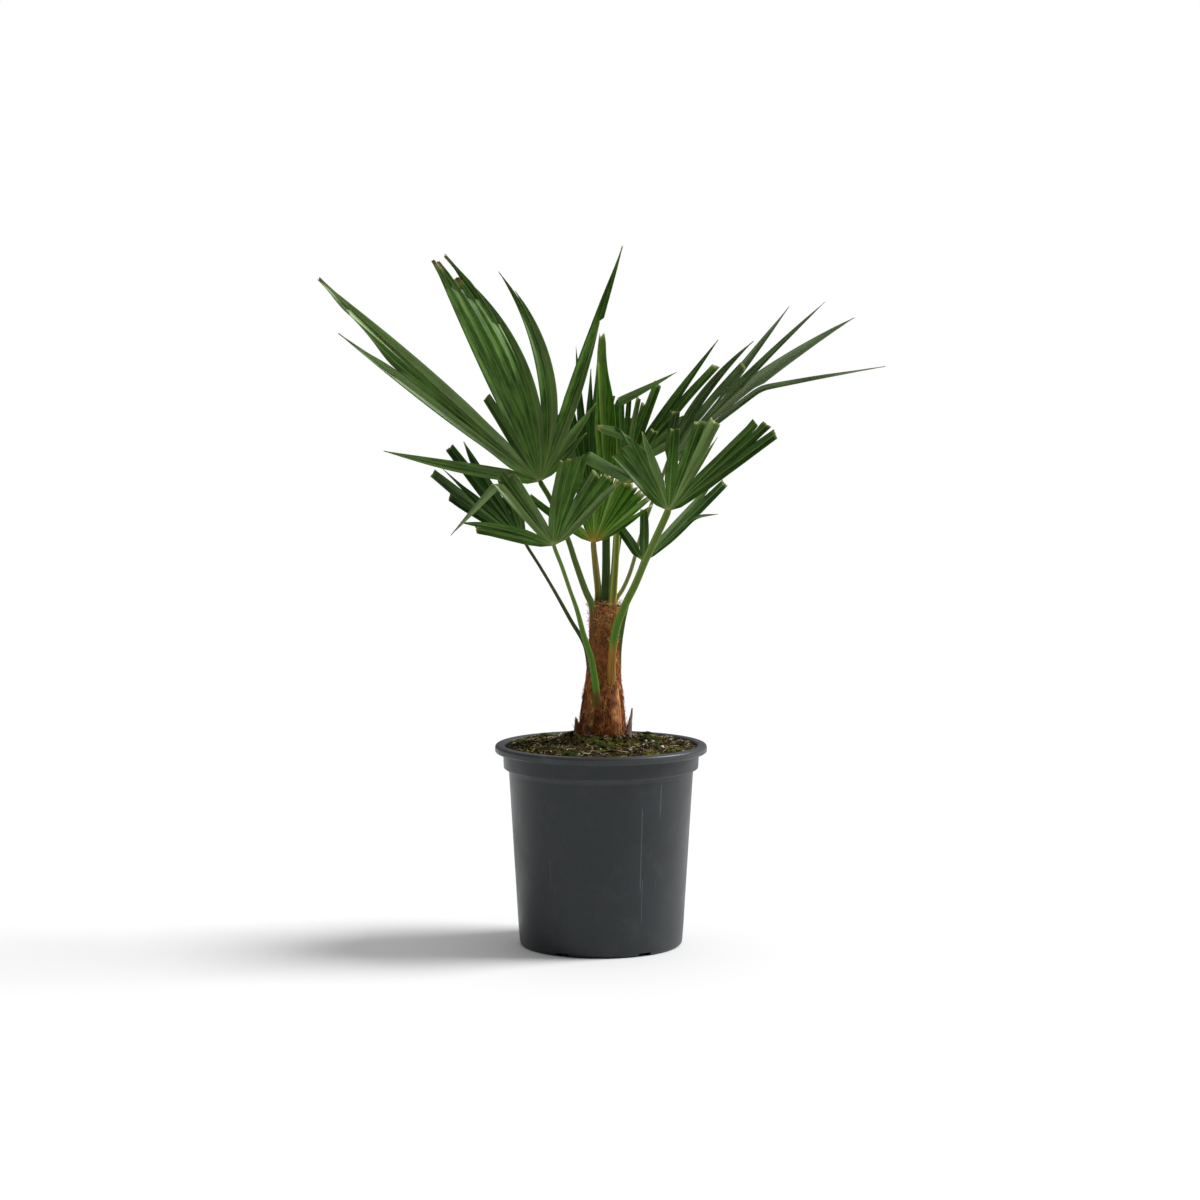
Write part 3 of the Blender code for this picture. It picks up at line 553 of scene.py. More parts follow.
def shader_group(name, inputs, make):
    """A shader node group of these inputs, which gives the numbers that make returns."""
    tree = bpy.data.node_groups.new(name, "ShaderNodeTree")
    for socket, kind in inputs.items():
        tree.interface.new_socket(name=socket, in_out="INPUT", socket_type="NodeSocket" + kind)
    ins = tree.nodes.new("NodeGroupInput").outputs
    made = make({socket: Value(ins[socket]) for socket in inputs})
    for socket in made:
        tree.interface.new_socket(name=socket, in_out="OUTPUT", socket_type="NodeSocketFloat")
    outs = tree.nodes.new("NodeGroupOutput").inputs
    for socket, value in made.items():
        feed(outs[socket], value)
    return tree


class Finish:
    """A material with one Principled shader."""

    def __init__(self, name, roughness, **constants):
        self.material = bpy.data.materials.new(name)
        self.material.use_nodes = True
        self.tree = self.material.node_tree
        self.give(Roughness=roughness, **constants)

    def give(self, **sockets):
        """Sets or links the shader's sockets, by name."""
        for key, value in sockets.items():
            feed(self.tree.nodes["Principled BSDF"].inputs[key.replace("_", " ")], value)

    def kept(self, name):
        """A vector that the mesh keeps, as write_values wrote it."""
        return Value(put(self.tree, "Attribute", {"attribute_name": name}).outputs["Vector"])

    def place(self):
        """The place on the object, in its own metres."""
        return Value(put(self.tree, "TexCoord").outputs["Object"])

    def group(self, group, **sockets):
        """What a shader node group gives, by name."""
        node = put(self.tree, "Group", {"node_tree": group}, **sockets)
        return {socket.name: Value(socket) for socket in node.outputs}

    def done(self, colour, height, depth, **sockets):
        """The material, with this colour and with a surface raised by this height."""
        bump = put(self.tree, "Bump", Height=height, Distance=depth, Strength=1.0)
        self.give(Base_Color=colour, Normal=Value(bump.outputs["Normal"]), **sockets)
        return self.material


# ---- shader groups ----
def leaf_veins(ins):
    """Fine parallel veins, broad pale streaks, the midrib and a soft mottle along a leaf strap."""
    grain = ins["Grain"]
    sideways = parts_of(grain)[0]
    wander = noise_of(scaled(grain, (120.0, 14.0, 40.0)), 1.0, 2.0)
    turns = sums("DIVIDE", times_plus(wander, 0.0016, sideways), ins["Vein Spacing"])
    veins = span(sums("SINE", turns * (2 * pi)), -0.4, 1.0)
    streaks = noise_of(scaled(grain, (620.0, 9.0, 60.0)), 1.0, 3.0, 0.6)
    midrib = span(sums("ABSOLUTE", sideways), 0.00025, 0.0010, 1.0, 0.0)
    mottle = noise_of(scaled(grain, (150.0, 34.0, 40.0)), 1.0, 4.0, 0.62)
    height = times_plus(veins, 0.35, streaks * 0.9) + midrib * 0.8
    height += span(ins["Edge"], 0.86, 1.0) * 0.3
    return dict(Veins=veins, Streaks=streaks, Midrib=midrib, Mottle=mottle, Height=height)


def dry_fibres(ins):
    """Long dry fibres: bright and dark threads along the second axis of the vector."""
    grain = ins["Grain"]
    sideways, lengthways, shift = parts_of(grain)
    lane = times_plus(noise_of(grain, 90.0, 2.0), 0.0022, sideways) * ins["Threads"]
    threads = noise_of(vector_of(lane, lengthways * ins["Stretch"], shift), 1.0, 4.0, 0.68)
    patches = noise_of(grain, 130.0)
    return dict(Threads=span(threads, 0.34, 0.68), Patches=patches, Height=threads)


def specks_and_dust(ins):
    """Loose pale specks and dust lying in patches."""
    place, scale = ins["Place"], ins["Scale"]
    cells = put(place.tree, "TexVoronoi", Vector=place, Scale=scale).outputs["Distance"]
    specks = sums("LESS_THAN", Value(cells), ins["Amount"] * 0.30)
    dust = noise_of(place, scale * 0.06, 5.0, 0.65)
    return dict(Specks=specks, Dust=span(dust, 0.48, 0.78))


VEINS = shader_group(
    "leaf veins", {"Grain": "Vector", "Edge": "Float", "Vein Spacing": "Float"}, leaf_veins
)
FIBRES = shader_group(
    "dry fibres", {"Grain": "Vector", "Threads": "Float", "Stretch": "Float"}, dry_fibres
)
SPECKS = shader_group(
    "specks and dust", {"Place": "Vector", "Scale": "Float", "Amount": "Float"}, specks_and_dust
)


# ---- finishes ----
# deep, middle and pale green of each kind of leaf
LEAF_GREENS = {
    "green": ((0.012, 0.044, 0.003), (0.070, 0.168, 0.018), (0.270, 0.380, 0.120)),
    "dark_green": ((0.008, 0.032, 0.003), (0.038, 0.106, 0.012), (0.180, 0.280, 0.090)),
    "bright_green": ((0.014, 0.070, 0.003), (0.078, 0.225, 0.010), (0.300, 0.430, 0.080)),
    "pale_green": ((0.028, 0.056, 0.012), (0.092, 0.160, 0.045), (0.270, 0.340, 0.180)),
}
VEIN_SPACING = 0.0013
# the underside's bloom
LEAF_BLOOM = (0.110, 0.170, 0.060)
# the soft, slightly green gloss of leaf wax
WAXY = dict(Specular_IOR_Level=0.36, Specular_Tint=(0.84, 1.0, 0.70, 1))
# yellowing and dry colour at the ends of the leaflets
DRY_ENDS = {kind: ((0.210, 0.220, 0.045), (0.170, 0.120, 0.055)) for kind in LEAF_GREENS}
DRY_ENDS["bright_green"] = ((0.300, 0.320, 0.090), (0.520, 0.540, 0.330))
# how far out the colour at the hub reaches, and that colour
HUB_TINTS = {kind: (0.009, (0.210, 0.240, 0.040)) for kind in LEAF_GREENS}
HUB_TINTS["bright_green"] = (0.017, (0.330, 0.170, 0.020))
# the most of a leaflet's length that has dried
DRIED_SHARE = {kind: 0.07 for kind in LEAF_GREENS}
DRIED_SHARE["bright_green"] = 0.16


def leaf_finish(kind, underside):
    """A blade's face or back: mottled green, veins, a pale midrib and ends that have dried."""
    deep, middle, pale = LEAF_GREENS[kind]
    hub_reach, hub_tint = HUB_TINTS[kind]
    yellowed, dried = DRY_ENDS[kind]
    finish = Finish(f"{kind}_leaf_{'back' if underside else 'face'}", 0.36, **WAXY)
    grain = finish.kept("grain")
    edge, age, tone = parts_of(finish.kept("blade"))
    veins = finish.group(VEINS, Grain=grain, Edge=edge, Vein_Spacing=VEIN_SPACING)
    colour = coated(
        mixed(span(veins["Mottle"], 0.30, 0.70), deep, middle),
        (span(tone, 0.0, 0.45, 0.55, 0.0), deep),
        (span(tone, 0.55, 1.0, 0.0, 0.40), pale),
        (span(veins["Streaks"], 0.50, 0.82) * 0.30, pale),
        (veins["Veins"] * 0.05, pale),
        (veins["Midrib"] * 0.34, pale),
    )
    rough = span(veins["Mottle"], 0.25, 0.75, 0.31, 0.44)
    if underside:
        colour = mixed(0.28, colour, LEAF_BLOOM)
        rough += 0.12
    colour = coated(
        colour,
        (span(parts_of(grain)[1], 0.0, hub_reach, 0.9, 0.0), hub_tint),
        (span(age, 0.15, 0.65, 0.0, 0.85), yellowed),
        (span(age, 0.62, 0.95), dried),
    )
    rough += age * 0.25
    gloss = span(tone, 0.40, 1.0, 0.16, 0.68)
    sockets = dict(Roughness=rough, Specular_IOR_Level=gloss)
    return finish.done(colour, veins["Height"], 0.00006, **sockets)


# the sunlit side, the shaded channel and the darkest threads of a stalk
STALK_PALE = (0.26, 0.34, 0.06)
STALK_SHADE = (0.020, 0.040, 0.008)
HUSK_SHADE = (0.030, 0.012, 0.004)


def stalk_finish(name, top, foot, husk):
    """A leaf stalk: top colour, colour near its foot and the dry husk of the foot itself."""
    finish = Finish(name, 0.42, **WAXY)
    share, channel, dry = parts_of(finish.kept("blade"))
    fibres = finish.group(FIBRES, Grain=finish.kept("grain"), Threads=1500.0, Stretch=16.0)
    threads, patches = fibres["Threads"], fibres["Patches"]
    colour = mixed(span(share, 0.10, 0.75), foot, top)
    colour = mixed(threads * 0.35, colour, mixed(0.5, colour, STALK_PALE))
    dry_share = dry + times_plus(threads, 0.30, patches * 0.40)
    husk_shade = tuple(blend(one, two, 0.65) for one, two in zip(husk, HUSK_SHADE))
    colour = coated(
        colour,
        (channel * 0.80, mixed(0.6, colour, STALK_SHADE)),
        (span(patches, 0.62, 0.80, 0.0, 0.5), husk),
        (span(dry_share, 0.62, 1.05), husk),
        (span(dry_share, 0.95, 1.30) * threads * 0.8, husk_shade),
    )
    rough = times_plus(dry, 0.35, 0.38)
    return finish.done(colour, fibres["Height"], 0.0004, Roughness=rough)


# dark, middle and pale colour of each bark; how many threads lie side by side in a metre, how
# often they change along it, and how deep they are
BARKS = {
    "stem_bark": ((0.040, 0.010, 0.002), (0.370, 0.115, 0.020), (0.660, 0.300, 0.080),
                  1300, 45, 0.0012),
    "sleeve_fibre": ((0.044, 0.011, 0.002), (0.410, 0.118, 0.020), (0.700, 0.310, 0.078),
                     1700, 60, 0.0012),
    "rusty_base": ((0.085, 0.024, 0.006), (0.500, 0.160, 0.034), (0.660, 0.310, 0.090),
                   900, 14, 0.0008),
    "brown_base": ((0.050, 0.018, 0.010), (0.230, 0.085, 0.048), (0.420, 0.230, 0.150),
                   1100, 20, 0.0010),
    "grey_base": ((0.095, 0.055, 0.042), (0.300, 0.205, 0.165), (0.540, 0.420, 0.350),
                  1100, 20, 0.0010),
    "tan_husk": ((0.095, 0.030, 0.006), (0.430, 0.165, 0.032), (0.640, 0.340, 0.085),
                 1500, 26, 0.0009),
}


def bark_finish(name):
    """Dry fibre: the stem, the sleeve, the old leaf bases and the husks."""
    dark, middle, pale, threads, stretch, depth = BARKS[name]
    finish = Finish(name, 0.88)
    grain = finish.kept("grain")
    fibres = finish.group(FIBRES, Grain=grain, Threads=threads, Stretch=stretch)
    colour = coated(
        mixed(fibres["Threads"], dark, middle),
        (span(fibres["Patches"], 0.52, 0.70, 0.0, 0.90), pale),
        (parts_of(grain)[2] * 0.35, pale),
        # dark patches: painted shade of the gaps between the fibres
        (span(fibres["Patches"], 0.34, 0.50, 0.75, 0.0), dark),
    )
    return finish.done(colour, fibres["Height"], depth)


# dark, middle and pale colour of each kind of loose strand
STRANDS = {
    "stem_thread": ((0.050, 0.012, 0.002), (0.410, 0.120, 0.020), (0.760, 0.340, 0.095)),
    "pale_thread": ((0.260, 0.085, 0.020), (0.620, 0.270, 0.080), (0.900, 0.580, 0.270)),
    "rootlet": ((0.060, 0.044, 0.012), (0.320, 0.250, 0.085), (0.820, 0.720, 0.420)),
}


def strand_finish(name):
    """Single threads and roots, each of its own shade."""
    dark, middle, pale = STRANDS[name]
    finish = Finish(name, 0.80)
    tone = parts_of(finish.kept("grain"))[2]
    place = finish.place()
    colour = coated(
        mixed(span(tone, 0.0, 0.55), dark, middle),
        (span(tone, 0.60, 1.0), pale),
        (span(noise_of(place, 420.0, 2.0), 0.55, 0.80, 0.0, 0.6), dark),
    )
    return finish.done(colour, noise_of(place, 1400.0, 2.0), 0.0002)


# dark, middle and pale colour of each kind of crumb, and its roughness
CRUMBS = {
    "peat_crumb": ((0.003, 0.002, 0.001), (0.070, 0.050, 0.016), (0.420, 0.330, 0.140), 0.95),
    "bark_chip": ((0.020, 0.010, 0.006), (0.105, 0.055, 0.027), (0.260, 0.170, 0.090), 0.85),
    "white_grit": ((0.380, 0.370, 0.340), (0.720, 0.710, 0.680), (0.860, 0.850, 0.820), 0.75),
    "moss_green": ((0.012, 0.020, 0.002), (0.062, 0.088, 0.008), (0.190, 0.220, 0.035), 0.90),
}


def crumb_finish(name):
    """Loose bits on the soil, each of its own shade, with a gritty surface."""
    dark, middle, pale, roughness = CRUMBS[name]
    finish = Finish(name, roughness, Specular_IOR_Level=0.15)
    tone = parts_of(finish.kept("grain"))[2]
    grit = noise_of(finish.place(), 900.0, 4.0, 0.7)
    colour = coated(
        mixed(span(tone, 0.0, 0.7), dark, middle),
        (span(tone, 0.75, 1.0), pale),
        (span(grit, 0.40, 0.70, 0.55, 0.0), dark),
    )
    return finish.done(colour, grit, 0.0007)


# the soil between the crumbs, dark with painted shade in its hollows, and on top, and what lies on it
PEAT_HOLLOW_SHADE = (0.003, 0.002, 0.001)
PEAT_BROWN = (0.068, 0.048, 0.014)
CLOD_BROWN = (0.160, 0.115, 0.034)
ALGAE_GREEN = (0.125, 0.135, 0.012)
SAND = (0.26, 0.20, 0.11)


def soil_finish():
    """Damp peat: hollows darkened with painted shade, brown crumbs and clods, a green film and grains of
    sand.
    """
    finish = Finish("damp_peat", 0.95, Specular_IOR_Level=0.08)
    place = finish.place()
    crumbs = noise_of(place, 420.0, 6.0, 0.72)
    clods = noise_of(place, 70.0, 4.0, 0.6)
    algae = noise_of(place, 38.0, 4.0, 0.6)
    specks = finish.group(SPECKS, Place=place, Scale=260.0, Amount=0.35)
    colour = coated(
        # near black where the surface lies low: painted shade in the hollows
        mixed(span(crumbs, 0.35, 0.68), PEAT_HOLLOW_SHADE, PEAT_BROWN),
        (span(clods, 0.52, 0.72, 0.0, 0.6), CLOD_BROWN),
        (span(algae, 0.48, 0.62, 0.0, 0.75), ALGAE_GREEN),
        (specks["Specks"] * 0.5, SAND),
    )
    return finish.done(colour, times_plus(crumbs, 0.7, clods), 0.003)


# marks on the pot's wall: azimuth from the front and width in degrees, lowest and highest end
SCUFFS = [
    (26.5, 0.50, 0.060, 0.150), (40, 0.50, 0.132, 0.172),
    (28, 0.32, 0.030, 0.080), (-35, 0.28, 0.060, 0.100),
]
PLASTIC_GLOSS = dict(Specular_IOR_Level=0.42, Specular_Tint=(0.90, 0.97, 1.0, 1))
# the plastic where it is dark and where it is worn, the painted highlight on its lip, its rubbed
# ledge and scuffs, and the dust and specks on it
PLASTIC_DARK = (0.0125, 0.0140, 0.0150)
PLASTIC_WORN = (0.0200, 0.0225, 0.0250)
PAINTED_RIM_LIGHT = (0.100, 0.105, 0.112)
RUBBED_LEDGE = (0.085, 0.088, 0.092)
SCUFFED = (0.150, 0.155, 0.162)
DUST = (0.16, 0.15, 0.13)
PALE_SPECK = (0.20, 0.19, 0.17)


def scuffs_of(place, around, height):
    """Fine drawn scratches that follow the wall upwards, and the few longer marks."""
    drawn = noise_of(vector_of(around * 30.0, height * 9.0), 2.0, 4.0, 0.6)
    scuffs = span(drawn, 0.66, 0.72) * span(noise_of(place, 60.0), 0.45, 0.60)
    for azimuth, wide, low, high in SCUFFS:
        off = distance_from(around, radians(azimuth))
        line = span(off, radians(wide) * 0.4, radians(wide), 1.0, 0.0)
        line *= span(height, high - 0.006, high, 1.0, 0.0)
        line *= span(height, low, low + 0.012)
        scuffs = sums("MAXIMUM", scuffs, line * 0.8)
    return scuffs


def pot_finish():
    """Satin charcoal plastic with a painted highlight on the lip, a rubbed ledge, upright scuffs, dust and
    a fine moulded grain.
    """
    finish = Finish("charcoal_plastic", 0.38, **PLASTIC_GLOSS)
    place = finish.place()
    x, y, z = parts_of(place)
    scuffs = scuffs_of(place, sums("ARCTAN2", x, y * -1.0), z)
    specks = finish.group(SPECKS, Place=place, Scale=420.0, Amount=0.30)
    dust = specks["Dust"]
    clouds = noise_of(place, 14.0, 4.0, 0.6)
    # the lip's upper band: a painted highlight, stronger where dust lies
    rim = span(z, POT_HEIGHT - 0.012, POT_HEIGHT - 0.001) * span(dust, 0.0, 0.8, 0.45, 1.0)
    off_ledge = distance_from(z, SHOULDER_Z - 0.002)
    colour = coated(
        mixed(span(clouds, 0.35, 0.68), PLASTIC_DARK, PLASTIC_WORN),
        (rim * 0.75, PAINTED_RIM_LIGHT),
        (span(off_ledge, 0.0008, 0.0040, 0.30, 0.0), RUBBED_LEDGE),
        (scuffs * 0.45, SCUFFED),
        (dust * 0.10, DUST),
        (specks["Specks"] * 0.10, PALE_SPECK),
    )
    rough = span(clouds, 0.30, 0.70, 0.34, 0.46) + scuffs * 0.15 + dust * 0.06
    pits = noise_of(place, 1600.0, 2.0) * 0.10
    height = times_plus(clouds, 1.5, pits) + scuffs * 0.08
    return finish.done(colour, height, 0.0006, Roughness=rough)


LEAF_FACE = {kind: leaf_finish(kind, False) for kind in LEAF_GREENS}
LEAF_BACK = {kind: leaf_finish(kind, True) for kind in LEAF_GREENS}


# ---- leaf blades ----
def fan_axes(facing):
    """Right, up and face direction of a fan, as its face is seen."""
    azimuth, height = (radians(a) for a in facing)
    right = Vector((cos(azimuth), sin(azimuth), 0))
    face = Vector((sin(azimuth) * cos(height), -cos(azimuth) * cos(height), sin(height)))
    return right, face.cross(right), face


def fold_of(piece):
    """(distance, turn) of the strap's fold, or None."""
    return piece["end"][:2] if isinstance(piece["end"], tuple) else None


def is_blunt(piece):
    """A folded strap whose end is broad and rounded."""
    return isinstance(piece["end"], tuple) and len(piece["end"]) > 2


def is_creased(piece):
    fold = fold_of(piece)
    return bool(fold) and abs(fold[1]) > CREASE_FROM


def course_of(piece):
    """Places (x, y) and directions along the strap's middle, one for each step."""
    fold = fold_of(piece)
    x = y = 0.0
    found = []
    for i in range(int(piece["length"] / COURSE_STEP) + 2):
        gone = i * COURSE_STEP
        turn = radians(piece["angle"] + piece["bend"] * gone / piece["length"])
        if fold and not is_creased(piece):
            turn += radians(fold[1]) * smooth_step((gone - fold[0]) / KINK_LENGTH + 0.5)
        found.append((x, y, turn))
        x += sin(turn) * COURSE_STEP
        y += cos(turn) * COURSE_STEP
    return found


def at(course, distance):
    """The course's place and direction at this distance."""
    place = min(max(distance / COURSE_STEP, 0), len(course) - 1.001)
    k, share = int(place), place - int(place)
    return tuple(blend(a, b, share) for a, b in zip(course[k], course[k + 1]))


def rise_of(piece, distance):
    """How far the strap's middle stands out of the fan's plane."""
    return piece["lift"] * distance**2 / piece["length"]


def half_width(piece, share):
    """A free strap's half width at this share of its length."""
    full = piece["width"] / 2 * min(1, 0.55 + share * 1.3)
    if piece["end"] == "cut":
        return full * (1 - 0.12 * share**3)
    taper = max(0, (share - 0.42) / 0.58)
    if piece["end"] == "worn":
        return full * max(1 - taper**1.8, 0.20)
    if is_blunt(piece):
        return full * (1 - piece["end"][2] * taper**2)
    return full * max(1 - taper**1.6, 0.07)


def room_by(other, distance, gap):
    """The half width that a strap has beside another one, their middles this far apart."""
    taken = min(half_width(other, distance / other["length"]), gap / 2)
    return gap - taken


def pleat_depth(half, distance, free=0.0):
    """How high a strap's edge stands over its middle."""
    return blend(PLEAT, FREE_PLEAT, free) * half * smooth_step(distance / PLEAT_RISE)


def creased(piece, course, place):
    """The place after the strap is folded over at its crease, as a band bent round a thin rod."""
    distance, turn_degrees = fold_of(piece)
    x0, y0, turn = at(course, distance)
    before = Vector((sin(turn), cos(turn)))
    turned = turn + radians(turn_degrees)
    ahead = (before - Vector((sin(turned), cos(turned)))).normalized()
    beyond = (place.x - x0) * ahead.x + (place.y - y0) * ahead.y
    if beyond <= 0:
        return place
    middle = rise_of(piece, distance)
    bow = min(beyond / CREASE_RADIUS, pi)
    back = max(beyond - pi * CREASE_RADIUS, 0)
    moved = CREASE_RADIUS * sin(bow) - back - beyond
    out = CREASE_RADIUS * (1 - cos(bow)) + CREASE_OPENS * back
    z = middle + out + (place.z - middle) * cos(bow)
    return Vector((place.x + ahead.x * moved, place.y + ahead.y * moved, z))


class Fan:
    """A leaf's straps in the plane of the fan: to the right, up, and out of the plane."""

    def __init__(self, straps):
        self.straps = straps
        self.courses = [course_of(piece) for piece in straps]
        self.last = len(straps) - 1

    def neighbour(self, i, side):
        """The strap on this side of strap i, 1 for the one before and -1 for the one after."""
        return i - side if 0 <= i - side <= self.last else None

    def join(self, i, side):
        """How far strap i is grown together with the one on this side."""
        other = self.neighbour(i, side)
        return 0 if other is None else max(self.straps[min(i, other)]["join"], WEB_RADIUS)

    def half_gap(self, i, other, distance):
        """Half the distance between the middles of two straps."""
        one, two = at(self.courses[i], distance), at(self.courses[other], distance)
        return hypot(one[0] - two[0], one[1] - two[1]) / 2

    def merged_seam(self, i):
        """The seam into which strap i closes at its end, or None."""
        limit = self.straps[i]["length"] - 0.001
        if i and self.straps[i - 1]["join"] > limit:
            return i - 1
        return i if i < self.last and self.straps[i]["join"] > limit else None

    def closing(self, i, distance):
        """How far strap i has closed into its merged seam."""
        return smooth_step((distance - self.straps[i]["length"]) / MERGE_LENGTH + 1)

    def seam_place(self, i, distance):
        """The raised seam between straps i and i + 1."""
        one, two = at(self.courses[i], distance), at(self.courses[i + 1], distance)
        z = (rise_of(self.straps[i], distance) + rise_of(self.straps[i + 1], distance)) / 2
        z += pleat_depth(self.half_gap(i, i + 1, distance), distance)
        place = Vector(((one[0] + two[0]) / 2, (one[1] + two[1]) / 2, z))
        for number, beyond in ((i, i - 1), (i + 1, i + 1)):
            if self.merged_seam(number) == beyond:
                place = place.lerp(self.seam_place(beyond, distance), self.closing(number, distance))
        return place

    def joined_place(self, i, side, across, middle, distance, wide):
        """A place between a strap's middle and the seam with its neighbour."""
        edge = self.seam_place(min(i, i - side), distance)
        crest = pleat_depth(wide, distance)
        flat = Vector((edge.x - middle.x, edge.y - middle.y, edge.z - crest - middle.z))
        return middle + flat * abs(across) + Vector((0, 0, crest * abs(across) ** VALLEY))

    def free_width(self, i, side, distance, wide, beside):
        """A parted strap's half width, which keeps clear of its neighbour."""
        join = self.join(i, side)
        if join:
            fade = 1 - smooth_step((distance - join) / SPLIT_FADE)
            wide += max(self.half_gap(i, i - side, join) - wide, 0) * fade
        if beside:
            past = (distance - join) / SPLIT_LENGTH
            room = room_by(self.straps[i - side], distance, beside * 2)
            wide = min(wide, room * (0.96 + past * 0.2))
        return wide


class Leaflet:
    """One strap of a fan, and what sets it apart from the others."""

    def __init__(self, fan, i, chance, leaf):
        piece = fan.straps[i]
        self.fan, self.i, self.piece, self.course = fan, i, piece, fan.courses[i]
        self.joined = max(fan.join(i, 1), fan.join(i, -1))
        self.merged = fan.merged_seam(i)
        self.twist = radians(chance.uniform(-TWIST, TWIST))
        self.wave, self.phase = chance.uniform(*WAVE_HEIGHTS), chance.uniform(0, 2 * pi)
        self.slant, self.jag = chance.uniform(-0.5, 0.5), chance.random() * 9
        is_cut = piece["end"] == "cut"
        dried = chance.uniform(*(DRY_CUTS if is_cut else DRY_TIPS))
        self.dried = min(dried, DRIED_SHARE[leaf["colour"]] * piece["length"])
        self.driest = 0.62 if is_cut else 0.98
        if self.merged is not None:
            self.driest = 0.0
        self.tone = blend(*leaf["tones"], chance.random())
        self.strip = chance.uniform(0, 9)

    def distances(self):
        """How far the strap's rows are from the hub."""
        rows = HUB_ROWS + [WEB_RADIUS]
        pitch = ROW_PITCH
        while rows[-1] + pitch * 1.4 < self.piece["length"]:
            if is_creased(self.piece) and rows[-1] > self.joined:
                pitch = CREASE_PITCH
            rows.append(rows[-1] + pitch)
        return rows + [self.piece["length"]]

    def end_shift(self, across, wide):
        """How far the edge of the strap's end stands out over its own length."""
        if self.piece["end"] == "cut":
            torn = noise.noise(Vector((across * 3, self.jag, 0)))
            return self.slant * across * wide + 0.0012 * torn
        if is_blunt(self.piece):
            return -0.0060 * across**2 + 0.0010 * noise.noise(Vector((across * 4, self.jag, 0)))
        if self.piece["end"] == "worn":
            return 0.0030 * noise.noise(Vector((across * 2.4, self.jag, 0)))
        return -0.0035 * (1 - abs(across))

    def free_place(self, distance, across, middle, turn, wide, folding):
        """A place on the parted strap, which turns on its own line and waves a little."""
        free = smooth_step((distance - self.joined) / max(self.piece["length"] - self.joined, 0.001))
        lean = self.twist * free
        crest = pleat_depth(wide, distance, folding) * abs(across) ** VALLEY
        crest += self.wave * free * sin(distance * 90 + self.phase) * across**2
        aside = wide * blend(1, FREE_SPREAD, folding) * across
        over = aside * cos(lean) - crest * sin(lean)
        out = aside * sin(lean) + crest * cos(lean)
        return middle + Vector((-cos(turn), sin(turn), 0)) * over + Vector((0, 0, out))

    def place(self, distance, across):
        """A place on the strap, the strap's half width there, and the seam that the place is on."""
        fan, i, piece = self.fan, self.i, self.piece
        side = 1 if across > 0 else -1
        join = fan.join(i, side)
        grown = join and distance <= join + 1e-6
        wide = half_width(piece, distance / piece["length"]) * min(1, distance / WEB_RADIUS)
        easing = smooth_step((distance - piece["length"]) / END_LENGTH + 1)
        reach = distance + self.end_shift(across, wide) * easing
        x, y, turn = at(self.course, reach)
        middle = Vector((x, y, rise_of(piece, reach)))
        beside = None
        if join and distance <= fan.straps[i - side]["length"]:
            other_x, other_y, _ = at(fan.courses[i - side], distance)
            beside = hypot(other_x - x, other_y - y) / 2
        if grown:
            wide = beside or wide
            place = fan.joined_place(i, side, across, middle, distance, wide)
        else:
            wide = fan.free_width(i, side, distance, wide, beside)
            folding = smooth_step((distance - max(join, WEB_RADIUS)) / FOLDING_LENGTH)
            place = self.free_place(distance, across, middle, turn, wide, folding)
            wide *= blend(1, FREE_SPREAD, folding)
        if self.merged is not None:
            place = place.lerp(fan.seam_place(self.merged, distance), fan.closing(i, distance))
        if is_creased(piece):
            place = creased(piece, self.course, place)
        return place, wide, min(i, i - side) if grown and abs(across) == 1 else None

    def values(self, distance, across, wide):
        """The two vectors that the leaf's finish reads."""
        age = smooth_step((distance - self.piece["length"]) / self.dried + 1)
        return (across * wide, distance, self.strip), (abs(across), age * self.driest, self.tone)


def make_blade(name, leaf):
    """A pleated fan: straps grown together near the hub, each a shallow valley with raised edges."""
    chance = random.Random(name)
    fan = Fan(leaf["straps"])
    right, up, face = fan_axes(leaf["facing"])
    hub = Vector(leaf["hub"])
    points, faces, grain, look = [], [], [], []
    seams = {}

    def point(place):
        points.append(hub + right * place.x + up * place.y + face * place.z)
        return len(points) - 1

    def seam_point(i, distance):
        """The one point of a seam that two straps share."""
        key = (i, round(distance, 5))
        if key not in seams:
            seams[key] = point(fan.seam_place(*key))
        return seams[key]

    for i in range(len(fan.straps)):
        leaflet = Leaflet(fan, i, chance, leaf)
        rows = []
        for distance in leaflet.distances():
            rows.append([])
            for j in range(COLUMNS + 1):
                across = 2 * j / COLUMNS - 1
                place, wide, seam = leaflet.place(distance, across)
                number = point(place) if seam is None else seam_point(seam, distance)
                rows[-1].append((number, *leaflet.values(distance, across, wide)))
        for low, high in zip(rows, rows[1:]):
            for j in range(COLUMNS):
                corners = (low[j], high[j], high[j + 1], low[j + 1])
                faces.append([corner[0] for corner in corners])
                grain += [corner[1] for corner in corners]
                look += [corner[2] for corner in corners]
    sides = [LEAF_FACE[leaf["colour"]], LEAF_BACK[leaf["colour"]]]
    obj = build_mesh(name, points, faces, sides)
    write_values(obj, "grain", grain)
    write_values(obj, "blade", look)
    thicken(obj, BLADE_THICKNESS, 1)
    return obj


# ---- stalks ----
# the radius at which a stalk's grain is as wide as the stalk, and its tone
GRAIN_RADIUS = 0.003
STALK_TONE = 0.3
STALK_SIDES = 18
STALK_ROWS = 64
# how flat the channelled front is, and the share of the stalk's breadth that the channel takes
STALK_FLATNESS = 0.78
CHANNEL_BREADTH = 0.8
# how far a stalk runs on behind its blade, how much of its girth it keeps there, and how far
# this end leans away from the blade, for its length
STALK_TAIL = 0.011
TAIL_GIRTH = 0.22
TAIL_LEAN = 0.07
# how far an outer stalk's foot goes into the fibres, and down them, and the girth it keeps there
FOOT_SINK = (0.006, 0.011)
FOOT_GIRTH = 0.55
